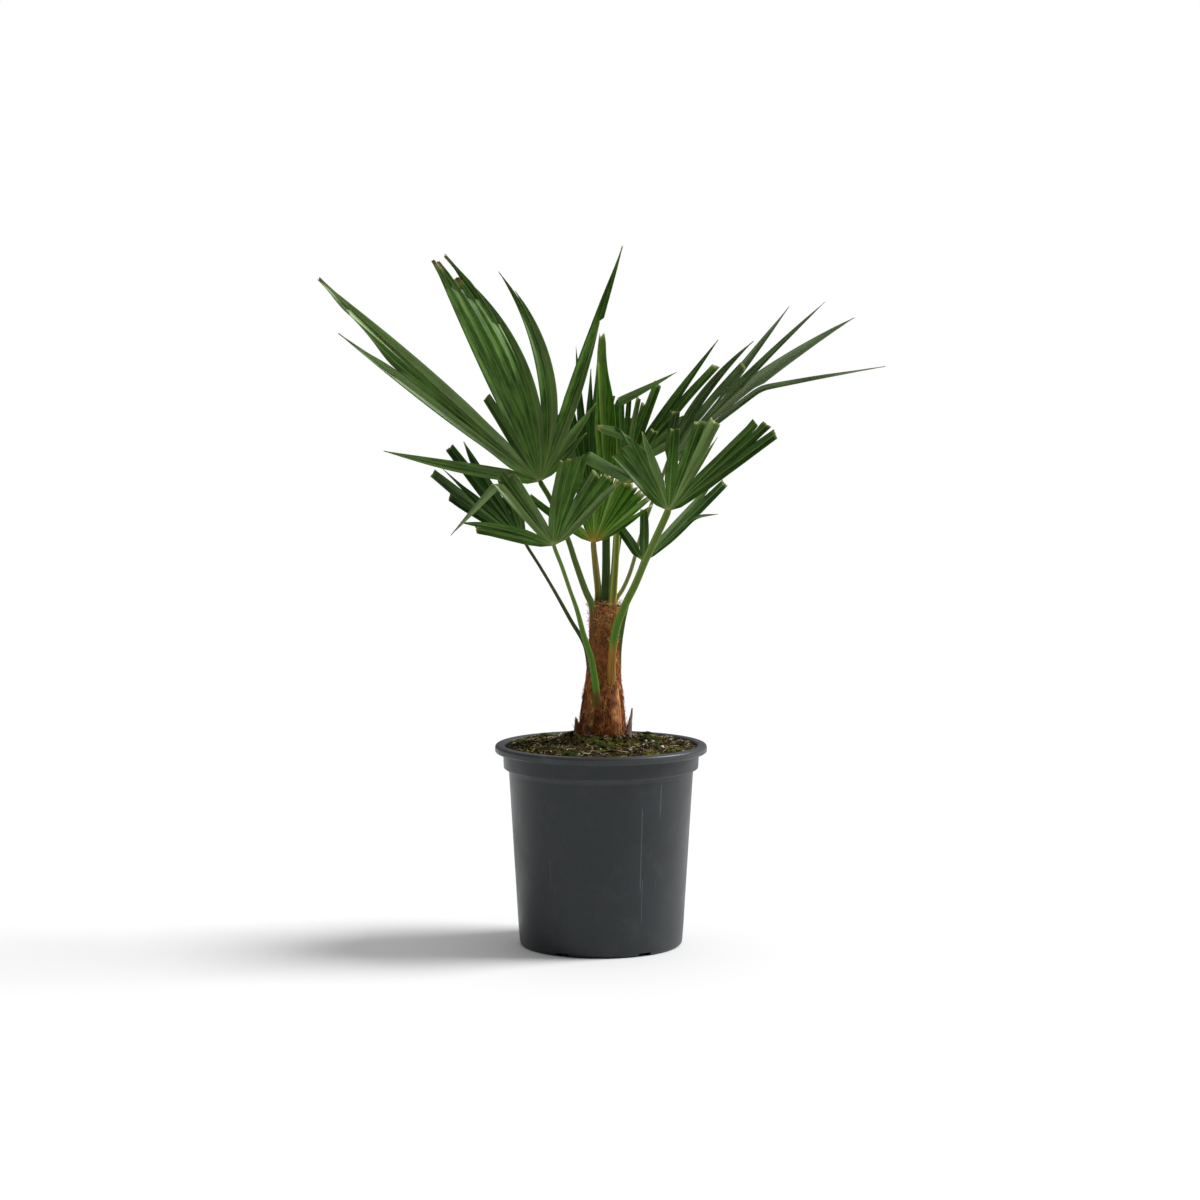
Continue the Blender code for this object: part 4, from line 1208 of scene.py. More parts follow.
# how much deeper in the fibres the lowest bends of a stalk lie
BURIED = {
    "leaf_01": (0.0050, 0.0035, 0.0012),
    "leaf_02": (0.0012, 0.0008),
    "leaf_05": (0.0015, 0.0010),
}
# how broad some stalks look beside the plain rod in their middle
STALK_BREADTH = {
    "leaf_02": 0.82, "leaf_05": 0.80, "leaf_07": 0.85, "leaf_08": 1.50, "leaf_09": 1.25,
}
# top, foot and husk colour of each leaf's stalk, how much its foot flares, its channel, and the
# shares of its length between which the dry husk gives way to green
STALKS = {
    "leaf_01": ((0.075, 0.14, 0.012), (0.13, 0.2, 0.014), (0.19, 0.085, 0.026), 0.1, 0.5, (0.22, 0.33)),
    "leaf_02": ((0.15, 0.24, 0.035), (0.085, 0.29, 0.006), (0.16, 0.11, 0.018), 0.4, 0.6, (0.1, 0.2)),
    "leaf_03": ((0.03, 0.044, 0.016), (0.055, 0.075, 0.018), (0.13, 0.065, 0.025), 0.1, 0.3, (0.03, 0.14)),
    "leaf_04": ((0.23, 0.135, 0.022), (0.21, 0.19, 0.026), (0.3, 0.16, 0.03), 0.0, 0.7, (0.16, 0.36)),
    "leaf_05": ((0.17, 0.26, 0.026), (0.105, 0.31, 0.006), (0.4, 0.19, 0.034), 0.3, 0.95, (0.1, 0.33)),
    "leaf_06": ((0.07, 0.14, 0.022), (0.12, 0.17, 0.03), (0.26, 0.14, 0.045), 0.0, 0.6, (0.06, 0.24)),
    "leaf_07": ((0.38, 0.42, 0.2), (0.5, 0.48, 0.2), (0.4, 0.22, 0.06), 0.0, 0.5, (0.16, 0.3)),
    "leaf_08": ((0.03, 0.085, 0.008), (0.022, 0.062, 0.005), (0.1, 0.06, 0.012), 0.0, 0.9, (0.12, 0.24)),
    "leaf_09": ((0.3, 0.34, 0.07), (0.4, 0.37, 0.07), (0.36, 0.22, 0.04), 0.0, 0.6, (0.12, 0.26)),
    "leaf_10": ((0.03, 0.065, 0.012), (0.045, 0.08, 0.014), (0.13, 0.065, 0.025), 0.0, 0.5, (0.2, 0.4)),
    "leaf_11": ((0.055, 0.1, 0.018), (0.07, 0.1, 0.018), (0.13, 0.065, 0.025), 0.0, 0.5, (0.2, 0.4)),
}
SPEAR_GREENS = ((0.075, 0.160, 0.030), (0.060, 0.120, 0.020), (0.200, 0.120, 0.040))
SPEAR_SIDES = 32
SPEAR_FOLDS = 8
SPEAR_ROWS = 70
# the kind of leaf whose name stands for another kind in the names passed to settle
SHARED_SLOTS = {"pale_green": "dark_green"}


def in_crown(ring):
    """The three lowest points of a stalk that stands on the stem's top, inside the sleeve."""
    foot = STEM @ Vector((*ring, TRUNK_OUTLINE[-1][0] + GAP))
    top = STEM @ Vector((*ring, SHEATH_TOP + GAP))
    return [foot, foot.lerp(top, 0.5), top]


def seat_of(hub, below, face, radius):
    """Where a stalk's middle line ends, so that its edge lies close behind the blade's hub."""
    line = (hub - below).normalized()
    across = (face - line * face.dot(line)).normalized()
    return hub - face * (BLADE_SOLID / 2) - across * radius


def plain_look(share, _):
    return share, 0, 0


def sweep(name, route, section, front, finish, look_at=plain_look):
    """A closed skin along a route. section(share) gives (sideways, forward) points round it."""
    points, faces, grain, look, rings = [], [], [], [], []
    whole = length_of(route)
    count = len(section(0.0))
    for place, tangent, gone in steps_of(route):
        ahead = (front - tangent * front.dot(tangent)).normalized()
        side = ahead.cross(tangent)
        rings.append((len(points), gone))
        points += [place + side * a + ahead * b for a, b in section(gone / whole)]
    column_width = 2 * pi * GRAIN_RADIUS / count
    for (low, low_gone), (high, high_gone) in zip(rings, rings[1:]):
        faces += ring_quads(low, high, count)
        for j in range(count):
            for column, gone in ((j, low_gone), (j + 1, low_gone), (j + 1, high_gone), (j, high_gone)):
                grain.append((column * column_width, gone, STALK_TONE))
                look.append(look_at(gone / whole, column % count / count))
    faces += end_faces(rings[0][0], rings[-1][0], count)
    for _, gone in (rings[0], rings[-1]):
        grain += [(0, gone, STALK_TONE)] * count
        look += [(gone / whole, 0, 1 - gone / whole)] * count
    obj = build_mesh(name, points, faces, [finish])
    write_values(obj, "grain", grain)
    write_values(obj, "blade", look)
    return obj


def stalk_section(girth, flare, channel_depth, sunk, tail):
    """A stalk's outline: a rounded back and a channelled front between two shoulders.

    tail is the share of its length at which it starts to narrow behind the blade."""
    def section(share):
        radius = blend(*girth, min(1, share * 1.5))
        radius *= 1 + flare * (1 - smooth_step(share / 0.16))
        radius *= blend(sunk, 1, smooth_step(share / 0.09))
        radius *= blend(1, TAIL_GIRTH, smooth_step((share - tail) / (1 - tail)))
        deepest = channel_depth * smooth_step(share / 0.3) * radius
        points = []
        for j in range(STALK_SIDES):
            turn = 2 * pi * j / STALK_SIDES
            a, b = radius * cos(turn), radius * sin(turn)
            if b > 0:
                b = b * STALK_FLATNESS - deepest * max(0, 1 - (a / radius / CHANNEL_BREADTH) ** 2)
            points.append((a, b))
        return points
    return section


def stalk_look(dry):
    """Share of the length, how deep in the channel, and how dry, for each place on a stalk."""
    def look(share, turn):
        channel = max(0, sin(2 * pi * turn)) ** 3 * smooth_step(share / 0.3)
        return share, channel, 1 - smooth_step((share - dry[0]) / (dry[1] - dry[0]))
    return look


def make_stalk(number, name, leaf):
    """A stalk from the stem to a little above its blade's hub."""
    _, up, face = fan_axes(leaf["facing"])
    hub = Vector(leaf["hub"])
    top, foot, husk, flare, channel, dry = STALKS[name]
    finish = stalk_finish(f"stalk_{number:02d}", top, foot, husk)
    points = [Vector(p) for p in leaf["stalk"]]
    points.append(seat_of(hub, points[-1], face, leaf["girth"][1]))
    points.append(hub + up * STALK_TAIL - face * STALK_TAIL * TAIL_LEAN)
    sunk = 1.0
    if leaf["ring"]:
        points = in_crown(leaf["ring"]) + points
    else:
        sunk = FOOT_GIRTH
        inward = Vector((TRUNK_FOOT_X - points[0].x, -points[0].y, 0)).normalized()
        for i, depth in enumerate(BURIED.get(name, ())):
            points[i] += inward * depth
        points.insert(0, points[0] + inward * FOOT_SINK[0] - Vector((0, 0, FOOT_SINK[1])))
    route = along(points, STALK_ROWS)
    girth = [radius * STALK_BREADTH.get(name, 1) for radius in leaf["girth"]]
    tail = 1 - STALK_TAIL * 1.3 / length_of(route)
    section = stalk_section(girth, flare, channel, sunk, tail)
    return sweep(f"stalk_{number:02d}", route, section, face, finish, stalk_look(dry))


def make_leaves():
    for number, (name, leaf) in enumerate(LEAVES.items(), 1):
        kind = SHARED_SLOTS.get(leaf["colour"], leaf["colour"])
        blade = make_blade(f"blade_{number:02d}", leaf)
        settle(blade, f"{kind}_blade", f"{name}_blade")
        settle(make_stalk(number, name, leaf), f"{kind}_stalk", f"{name}_stalk")


def make_spear():
    """The youngest leaf, still folded: a grooved rod that narrows to a point."""
    points = in_crown(SPEAR["ring"]) + [Vector(SPEAR["tip"])]

    def section(share):
        radius = SPEAR["girth"] * (1 - 0.86 * smooth_step((share - 0.35) / 0.65))
        outline = []
        for j in range(SPEAR_SIDES):
            turn = 2 * pi * j / SPEAR_SIDES
            reach = radius * (0.80 + 0.20 * cos(SPEAR_FOLDS * turn))
            outline.append((reach * cos(turn), reach * sin(turn)))
        return outline

    finish = stalk_finish("folded_leaf", *SPEAR_GREENS)
    route = along(points, SPEAR_ROWS)
    spear = sweep("folded_spear", route, section, Vector((0, -1, 0)), finish)
    settle(spear, "spear_leaf", "spear_leaf")


# ---- stem ----
# lowest ends of the bark and of the sleeve from the soil level, and how wide their grain lies
BARK_FOOT = -0.028
BARK_GRAIN = 0.115
SLEEVE_FOOT = 0.047
SLEEVE_GRAIN = 0.095
SLEEVE_THICKNESS = 0.0009
# faces round the stem, up its bark and up its sleeve
STEM_SIDES = 96
BARK_ROWS = 90
SLEEVE_ROWS = 60
# how many threads cross each other on the stem, stand upright on it and fray from its foot
CROSSING_THREADS = 760
UPRIGHT_THREADS = 360
FOOT_THREADS = 320
# azimuth in degrees and height of each tuft on the stem, its spread and its number of threads
TUFTS = [
    (26, 0.113, 0.22, 150), (32, 0.101, 0.16, 70), (-4, 0.116, 0.34, 110), (-40, 0.117, 0.3, 70),
    (75, 0.119, 0.3, 34), (130, 0.122, 0.4, 34), (-130, 0.120, 0.4, 34), (180, 0.118, 0.35, 30),
    (0, 0.128, 0.8, 130), (120, 0.128, 0.8, 60), (-120, 0.128, 0.8, 60),
]
# the dry sheaths below two of the stalks: name, azimuth in degrees, lower end, upper end, width
# and thickness
HUSKS = [
    ("right_husk", 30, 0.040, 0.093, 0.0160, 0.0017),
    ("left_husk", -37, 0.004, 0.050, 0.0125, 0.0015),
]
# a thread's longest step, and how far it stands off the stem where it is loosest
THREAD_STEP = 0.0022
THREAD_LOOSE = 0.00096
# faces across and up an old leaf base, and where its lower end is from the soil level
SCALE_GRID = (14, 36)
BASE_FOOT = -0.008
# the bark of each old leaf base, in the order of OLD_BASES
BASE_BARKS = ["rusty_base", "grey_base"] + ["brown_base"] * 3 + ["rusty_base", "brown_base"]


def stem_tube(name, finish, rows, skin, grain_size, tone, capped=False):
    """A tube of bark round the stem: skin(turn, share of its height) gives its points."""
    columns = STEM_SIDES
    points = [skin(2 * pi * j / columns, i / rows) for i in range(rows + 1) for j in range(columns)]
    faces, grain = [], []

    def grain_at(column, row):
        return column / columns * grain_size[0], row / rows * grain_size[1], tone

    for i in range(rows):
        faces += ring_quads(i * columns, (i + 1) * columns, columns)
        for j in range(columns):
            grain += [grain_at(j, i), grain_at(j + 1, i), grain_at(j + 1, i + 1), grain_at(j, i + 1)]
    if capped:
        faces += end_faces(0, rows * columns, columns)
        grain += [grain_at(j, row) for row in (0, rows) for j in range(columns)]
    tube = build_mesh(name, points, faces, [finish])
    write_values(tube, "grain", grain)
    return tube


def make_bark():
    """The stem's own skin under the fibres, from its root end to its top."""
    low, high = BARK_FOOT, TRUNK_OUTLINE[-1][0]

    def skin(turn, share):
        height = blend(low, high, share)
        rough = 0.0011 * noise.noise(Vector((3.2 * cos(turn), 3.2 * sin(turn), height * 22)))
        rough += 0.0006 * noise.noise(Vector((7 * cos(turn), 7 * sin(turn), height * 200)))
        return on_stem(turn, height, rough - 0.0004)

    grain_size = (BARK_GRAIN, high - low)
    finish = bark_finish("stem_bark")
    bark = stem_tube("stem_bark", finish, BARK_ROWS, skin, grain_size, 0.1, capped=True)
    settle(bark, "trunk", "trunk")


def make_sleeve():
    """The dry sleeve round the crown, with a torn upper edge."""
    def skin(turn, share):
        torn = 0.0055 * noise.noise(Vector((4 * cos(turn), 4 * sin(turn), 3))) - 0.003
        torn += 0.0012 * noise.noise(Vector((19 * cos(turn), 19 * sin(turn), 5)))
        height = blend(SLEEVE_FOOT, SHEATH_TOP + torn, share)
        rough = 0.0008 * noise.noise(Vector((4 * cos(turn), 4 * sin(turn), height * 40)))
        flare = 0.0012 * smooth_step((height - 0.112) / 0.02)
        return on_stem(turn, height, SLEEVE_THICKNESS + rough + flare)

    grain_size = (SLEEVE_GRAIN, SHEATH_TOP - SLEEVE_FOOT)
    finish = bark_finish("sleeve_fibre")
    sleeve = stem_tube("crown_sleeve", finish, SLEEVE_ROWS, skin, grain_size, 0.6)
    thicken(sleeve, SLEEVE_THICKNESS)
    settle(sleeve, "fibre_sheath", "fibre_sheath")


class Gathered:
    """Many small shapes gathered in one mesh."""

    def __init__(self):
        self.points, self.faces, self.grain = [], [], []

    def take(self, other):
        """Adds another's shapes to these."""
        start = len(self.points)
        self.points += other.points
        self.faces += [tuple(start + i for i in face) for face in other.faces]
        self.grain += other.grain

    def build(self, name, finish):
        obj = build_mesh(name, self.points, self.faces, [finish])
        write_values(obj, "grain", self.grain, "POINT")
        return obj


class Threads(Gathered):
    """Thin tubes."""

    def __init__(self, sides=4):
        super().__init__()
        self.sides = sides

    def add(self, route, radius, tone, taper=0.5):
        first = len(self.points)
        for i, (place, tangent, gone) in enumerate(steps_of(route)):
            side = tangent.orthogonal().normalized()
            ahead = tangent.cross(side)
            from_middle = abs(2 * i / (len(route) - 1) - 1)
            thick = radius * (1 - taper * from_middle**3)
            for j in range(self.sides):
                turn = 2 * pi * j / self.sides
                self.points.append(place + (side * cos(turn) + ahead * sin(turn)) * thick)
            self.grain += [(0, gone, tone)] * self.sides
        last = len(self.points) - self.sides
        for low in range(first, last, self.sides):
            self.faces += ring_quads(low, low + self.sides, self.sides)
        self.faces += end_faces(first, last, self.sides)


def stem_thread(chance, height, climb, length, out):
    """A thread somewhere round the stem, which climbs at this angle from the level."""
    azimuth = chance.uniform(0, 2 * pi)
    seed = chance.uniform(0, 50)
    steps = max(6, int(length / THREAD_STEP))
    route = []
    for i in range(steps + 1):
        share = i / steps
        up = height + length * share * sin(climb)
        turn = azimuth + length * share * cos(climb) / (stem_radius(up) + 0.001)
        turn += 0.09 * noise.noise(Vector((seed, share * 3, 0)))
        lift = out + THREAD_LOOSE * (0.5 + 0.5 * noise.noise(Vector((seed, share * 4, 9))))
        lift += 0.0022 * smooth_step((share - 0.85) / 0.15) * chance.random()
        route.append(on_stem(turn, up, lift))
    return route


def ways_at(turn):
    """The level ways out from the stem and round it, at this azimuth."""
    return Vector((sin(turn), -cos(turn), 0)), Vector((cos(turn), sin(turn), 0))


def bowed(start, aim, bow, steps):
    """The route of a short thread from start to start + aim, bowed to one side."""
    return [start + aim * (i / steps) + bow * sin(pi * i / steps) for i in range(steps + 1)]


def add_crossing_threads(chance, threads):
    highest = SHEATH_TOP - 0.003
    for _ in range(CROSSING_THREADS):
        climb = radians(chance.choice([-1, 1]) * chance.uniform(28, 70))
        length = chance.uniform(0.010, 0.034)
        height = chance.uniform(0.004, SHEATH_TOP - 0.006)
        if sin(climb) < 0:
            height = max(height, length * 0.9)
        if height + length * sin(climb) > highest:
            length = max(0.006, (highest - height) / max(sin(climb), 0.2))
        out = 0.0012 if height > 0.045 else 0.0004
        route = stem_thread(chance, height, climb, length, out)
        threads.add(route, chance.uniform(0.00013, 0.00030), chance.random())


def add_upright_threads(chance, threads):
    for _ in range(UPRIGHT_THREADS):
        climb = radians(chance.uniform(72, 108))
        length = chance.uniform(0.014, 0.045)
        height = chance.uniform(-0.004, 0.062)
        route = stem_thread(chance, height, climb, length, 0.0003)
        threads.add(route, chance.uniform(0.00018, 0.00042), chance.random() * 0.9)


def add_foot_threads(chance, threads):
    for _ in range(FOOT_THREADS):
        turn = chance.uniform(0, 2 * pi)
        start = on_stem(turn, chance.uniform(-0.004, 0.010), 0.0004)
        outward, sideways = ways_at(turn)
        aim = Vector((0, 0, chance.uniform(0.5, 1))) + outward * chance.uniform(-0.1, 0.55)
        aim += sideways * chance.gauss(0, 0.35)
        aim = aim.normalized() * chance.uniform(0.005, 0.015)
        bow = (outward * chance.gauss(0.3, 0.5) + sideways * chance.gauss(0, 0.6)) * 0.0016
        route = bowed(start, aim, bow, 6)
        threads.add(route, chance.uniform(0.00016, 0.00040), chance.random(), 0.7)


def make_stem_threads():
    """The loose woven hair of the stem: crossing threads above, upright ones below."""
    chance = random.Random("stem threads")
    threads = Threads()
    add_crossing_threads(chance, threads)
    add_upright_threads(chance, threads)
    add_foot_threads(chance, threads)
    settle(threads.build("stem_threads", strand_finish("stem_thread")), "fibre_sheath")


def make_tufts():
    """Frizzy pale tufts at the torn top of the sleeve."""
    chance = random.Random("tufts")
    threads = Threads()
    for azimuth, height, spread, count in TUFTS:
        for _ in range(count):
            turn = radians(azimuth) + chance.gauss(0, spread)
            start = on_stem(turn, height + chance.gauss(0, 0.0045), 0.0012)
            outward, sideways = ways_at(turn)
            aim = outward * chance.uniform(-0.1, 0.7) - sideways * chance.gauss(0, 0.9)
            aim += Vector((0, 0, chance.gauss(0.2, 0.7)))
            aim = aim.normalized() * chance.uniform(0.003, 0.010)
            curl = Vector([chance.gauss(0, 1) for _ in range(3)]) * 0.0014
            route = bowed(start, aim, curl, 7)
            threads.add(route, chance.uniform(0.00014, 0.00026), chance.random(), 0.7)
    settle(threads.build("crown_tufts", strand_finish("pale_thread")), "fibre_sheath")


def scale_faces(columns, rows):
    """The faces of a plate with an outer and an inner layer of points, joined at the border."""
    across = columns + 1
    layer_size = across * (rows + 1)
    faces = []
    for base in (0, layer_size):
        for i in range(rows):
            for j in range(columns):
                low, high = base + i * across + j, base + (i + 1) * across + j
                quad = (low, low + 1, high + 1, high)
                faces.append(quad[::-1] if base else quad)
    border = list(range(across))
    border += [i * across + columns for i in range(1, rows + 1)]
    border += [rows * across + j for j in range(columns - 1, -1, -1)]
    border += [i * across for i in range(rows - 1, 0, -1)]
    for one, two in zip(border, border[1:] + border[:1]):
        faces.append((two, one, one + layer_size, two + layer_size))
    return faces


def leaf_base(name, finish, azimuth, foot, length, width, thick, tilt=0.0, tip=0.40,
              thinning=0.45, start=1.0):
    """An old leaf base: a tapering scale that hugs the stem and ends in a torn edge.

    tip and start give its breadth at its ends, and thinning is the share of its thickness that
    it loses upward."""
    columns, rows = SCALE_GRID
    seed = random.Random(name).uniform(0, 40)

    def place_of(share, across, layer):
        half = width * blend(0.62, tip, share) * (1 - 0.25 * smooth_step((share - 0.85) / 0.15))
        half *= blend(start, 1, smooth_step(share / 0.40))
        torn = 0.05 * length + 0.16 * length * noise.noise(Vector((across * 3.5, seed, 1)))
        up = foot + (length - foot) * share + torn * share**4 - 0.10 * length * across**2 * share**6
        turn = azimuth + across * half / (stem_radius(max(up, 0)) + thick)
        body = thick * (1 - 0.75 * across**2) * (1 - thinning * share)
        rough = 0.00035 * noise.noise(Vector((across * 5, share * length * 130, seed)))
        return on_stem(turn, up, 0.0003 + up * tan(tilt) + (body + rough) * layer)

    points, grain = [], []
    for layer in (1, 0):
        for i in range(rows + 1):
            for j in range(columns + 1):
                points.append(place_of(i / rows, 2 * j / columns - 1, layer))
                grain.append((j / columns * width, i / rows * length, (seed % 1) * 0.4))
    obj = build_mesh(name, points, scale_faces(columns, rows), [finish])
    write_values(obj, "grain", grain, "POINT")
    return obj


def make_leaf_bases():
    """The old leaf bases round the stem's foot, and the dry sheaths below two of the stalks."""
    finishes = {bark: bark_finish(bark) for bark in sorted(set(BASE_BARKS))}
    for number, (azimuth, length, width, tilt) in enumerate(OLD_BASES, 1):
        if tilt < 10:
            shape = dict(width=width, thick=0.0032)
        else:
            shape = dict(width=width * 1.35, thick=0.0085, tip=0.12, thinning=0.86)
        shape.update(foot=BASE_FOOT, length=length, tilt=radians(tilt))
        finish = finishes[BASE_BARKS[number - 1]]
        obj = leaf_base(f"leaf_base_{number}", finish, radians(azimuth), **shape)
        settle(obj, "old_leaf_base", f"old_leaf_base_{number}")
    husk = bark_finish("tan_husk")
    for name, azimuth, *sizes in HUSKS:
        settle(leaf_base(name, husk, radians(azimuth), *sizes, start=0.45), "fibre_sheath")


# ---- pot and soil ----
POT_SIDES = 160
SOIL_GRID = (220, 70)
# what is strewn on the soil: finish, how many, their sizes, how much longer they are than their
# size, and their breadth and depth for their size
STREWN = [
    ("peat_crumbs", "peat_crumb", 1900, (0.0005, 0.0014), (1, 1.8), 1, 0.8),
    ("bark_chips", "bark_chip", 120, (0.0012, 0.0030), (1.2, 2.4), 0.8, 0.4),
]
# where the larger grains of white grit lie, and how many small ones there are
GRIT_PLACES = [(0.028, -0.066), (0.003, -0.042), (-0.052, -0.030), (0.051, -0.010), (0.060, -0.040)]
SMALL_GRIT = 40
# how many rootlets there are, and how far from the middle they may lie
ROOTLETS = 430
ROOTLET_REACH = 0.0920
MOSS_TIPS = 230


def arc(centre, radius, start, end, count):
    """Points on an arc of (radius, z), its angles in degrees from outward."""
    angles = [radians(blend(start, end, i / count)) for i in range(count + 1)]
    return [(centre[0] + radius * cos(a), centre[1] + radius * sin(a)) for a in angles]


def wall_radius(z):
    top = COLLAR_RADIUS - SHOULDER_STEP
    return POT_BASE_RADIUS + (top - POT_BASE_RADIUS) * z / SHOULDER_Z


def pot_outline():
    """The pot's closed outline, from inside the collar over the lip, down, under and back up."""
    lip_z = POT_HEIGHT - LIP_HEIGHT / 2
    inner = COLLAR_RADIUS + 0.0005 - POT_WALL
    outline = [(inner, SHOULDER_Z + 0.004), (inner + 0.0006, lip_z - 0.002)]
    outline += arc((COLLAR_RADIUS + 0.0015, lip_z + 0.0010), 0.0030, 172, 92, 7)
    outline += arc((POT_RIM_RADIUS - 0.0030, lip_z + 0.0010), 0.0030, 88, 0, 8)
    outline += arc((POT_RIM_RADIUS - 0.0022, lip_z - 0.0018), 0.0022, -5, -90, 6)
    outline += arc((COLLAR_RADIUS + 0.0020, lip_z - 0.0054), 0.0014, 90, 178, 5)
    outline += [(COLLAR_RADIUS + 0.0004, lip_z - 0.0100)]
    outline += arc((COLLAR_RADIUS - 0.0014, SHOULDER_Z + 0.0016), 0.0014, 0, -78, 5)
    neck = wall_radius(SHOULDER_Z)
    outline += arc((neck + 0.0011, SHOULDER_Z - 0.0012), 0.0011, 98, 176, 4)
    for i in range(1, 12):
        z = blend(SHOULDER_Z - 0.004, FOOT_RADIUS + 0.002, i / 12)
        outline.append((wall_radius(z), z))
    outline += arc((POT_BASE_RADIUS - FOOT_RADIUS, FOOT_RADIUS), FOOT_RADIUS, 4, -90, 8)
    floor_z = RECESS_DEPTH + POT_WALL
    outline += [
        (RECESS_RADIUS + 0.003, 0), (RECESS_RADIUS + 0.0015, 0.0004),
        (RECESS_RADIUS, RECESS_DEPTH - 0.0004), (RECESS_RADIUS - 0.001, RECESS_DEPTH),
        (PAD_RADIUS + 0.003, RECESS_DEPTH), (PAD_RADIUS + 0.002, RECESS_DEPTH - 0.0004),
        (PAD_RADIUS, 0.0003), (PAD_RADIUS - 0.001, 0), (0, 0),
        (0, floor_z), (wall_radius(0) - 0.006, floor_z),
        (wall_radius(0.012) - POT_WALL, 0.012),
        (wall_radius(SHOULDER_Z) - POT_WALL, SHOULDER_Z - 0.003),
    ]
    return outline


def pot_shell():
    """The pot without its drain openings, turned from its outline."""
    points, faces, rings = [], [], []
    for radius, z in pot_outline():
        ring = level_ring(radius, z, POT_SIDES) if radius else [(0, 0, z)]
        rings.append(range(len(points), len(points) + len(ring)))
        points += ring
    for one, two in zip(rings, rings[1:] + rings[:1]):
        if len(one) == len(two) == 1:
            continue
        for j in range(POT_SIDES):
            k = (j + 1) % POT_SIDES
            corners = [one[j % len(one)], one[k % len(one)], two[k % len(two)], two[j % len(two)]]
            corners = [c for i, c in enumerate(corners) if c != corners[i - 1]]
            faces.append(tuple(corners[::-1]))
    return build_mesh("pot_shell", points, faces, [pot_finish()])


def drain_cutter():
    """What is cut from the pot: slots at the foot and holes in the floor."""
    drains = bmesh.new()
    for i in range(SLOT_COUNT):
        around = Matrix.Rotation(SLOT_TURN + i * 2 * pi / SLOT_COUNT, 4, "Z")
        slot = around @ Matrix.Translation((POT_BASE_RADIUS - 0.002, 0, 0))
        bmesh.ops.create_cube(drains, size=1, matrix=slot @ Matrix.Diagonal((*SLOT_SIZE, 1)))
        hole = around @ Matrix.Translation((HOLE_REACH, 0, 0.004))
        bmesh.ops.create_cone(
            drains, cap_ends=True, segments=32, radius1=HOLE_RADIUS, radius2=HOLE_RADIUS,
            depth=0.012, matrix=hole,
        )
    mesh = bpy.data.meshes.new("drain_cutter")
    drains.to_mesh(mesh)
    drains.free()
    cutter = bpy.data.objects.new("drain_cutter", mesh)
    bpy.context.scene.collection.objects.link(cutter)
    return cutter


def cut_out(obj, cutter):
    """Cuts the cutter's shape from the object for good, and clears the cutter away."""
    cut = obj.modifiers.new("Drains", "BOOLEAN")
    cut.solver = "EXACT"
    cut.object = cutter
    graph = bpy.context.evaluated_depsgraph_get()
    whole = obj.data
    obj.data = bpy.data.meshes.new_from_object(obj.evaluated_get(graph))
    obj.modifiers.clear()
    used = cutter.data
    bpy.data.objects.remove(cutter)
    for mesh in (whole, used):
        bpy.data.meshes.remove(mesh)


def make_pot():
    pot = pot_shell()
    cut_out(pot, drain_cutter())
    edges = pot.modifiers.new("Even shading", "WEIGHTED_NORMAL")
    edges.keep_sharp = True
    settle(pot, "nursery_pot", "nursery_pot")


def ground_height(x, y):
    """The uneven top of the soil."""
    radius = hypot(x, y)
    place = Vector((x, y, 0))
    rough = 0.0024 * noise.noise(place * 45)
    rough += 0.0013 * noise.noise(place * 130 + Vector((3, 3, 3)))
    rough += 0.0007 * noise.noise(place * 380)
    heaped = MOUND * (1 - smooth_step((hypot(x - TRUNK_FOOT_X, y) - 0.020) / 0.030))
    banked = 0.0052 * smooth_step((radius - 0.050) / 0.035)
    return soil_top(radius) + rough - 0.0006 + heaped * (1 + 18 * rough / 0.05) + banked


def make_soil():
    """The soil's uneven top, closed below by a plain body inside the pot."""
    columns, rows = SOIL_GRID
    edge = COLLAR_RADIUS - POT_WALL - 0.0012
    points, faces = [(0, 0, ground_height(0, 0))], []
    for i in range(1, rows + 1):
        ring = level_ring(edge * i / rows, 0, columns)
        points += [(x, y, ground_height(x, y)) for x, y, _ in ring]
    below = [
        (edge - 0.0004, SHOULDER_Z + 0.008), (edge - SHOULDER_STEP - 0.0006, SHOULDER_Z - 0.006),
        (wall_radius(0.012) - POT_WALL - 0.0006, 0.014),
        (wall_radius(0.012) - POT_WALL - 0.0070, 0.0065),
    ]
    for radius, z in below:
        points += level_ring(radius, z, columns)
    last = rows + len(below) - 1
    for j in range(columns):
        k = (j + 1) % columns
        faces.append((0, 1 + j, 1 + k))
        for i in range(last):
            low, high = 1 + i * columns, 1 + (i + 1) * columns
            faces.append((low + j, high + j, high + k, low + k))
    base = 1 + last * columns
    faces.append(tuple(base + j for j in reversed(range(columns))))
    settle(build_mesh("soil_body", points, faces, [soil_finish()]), "potting_soil", "potting_soil")


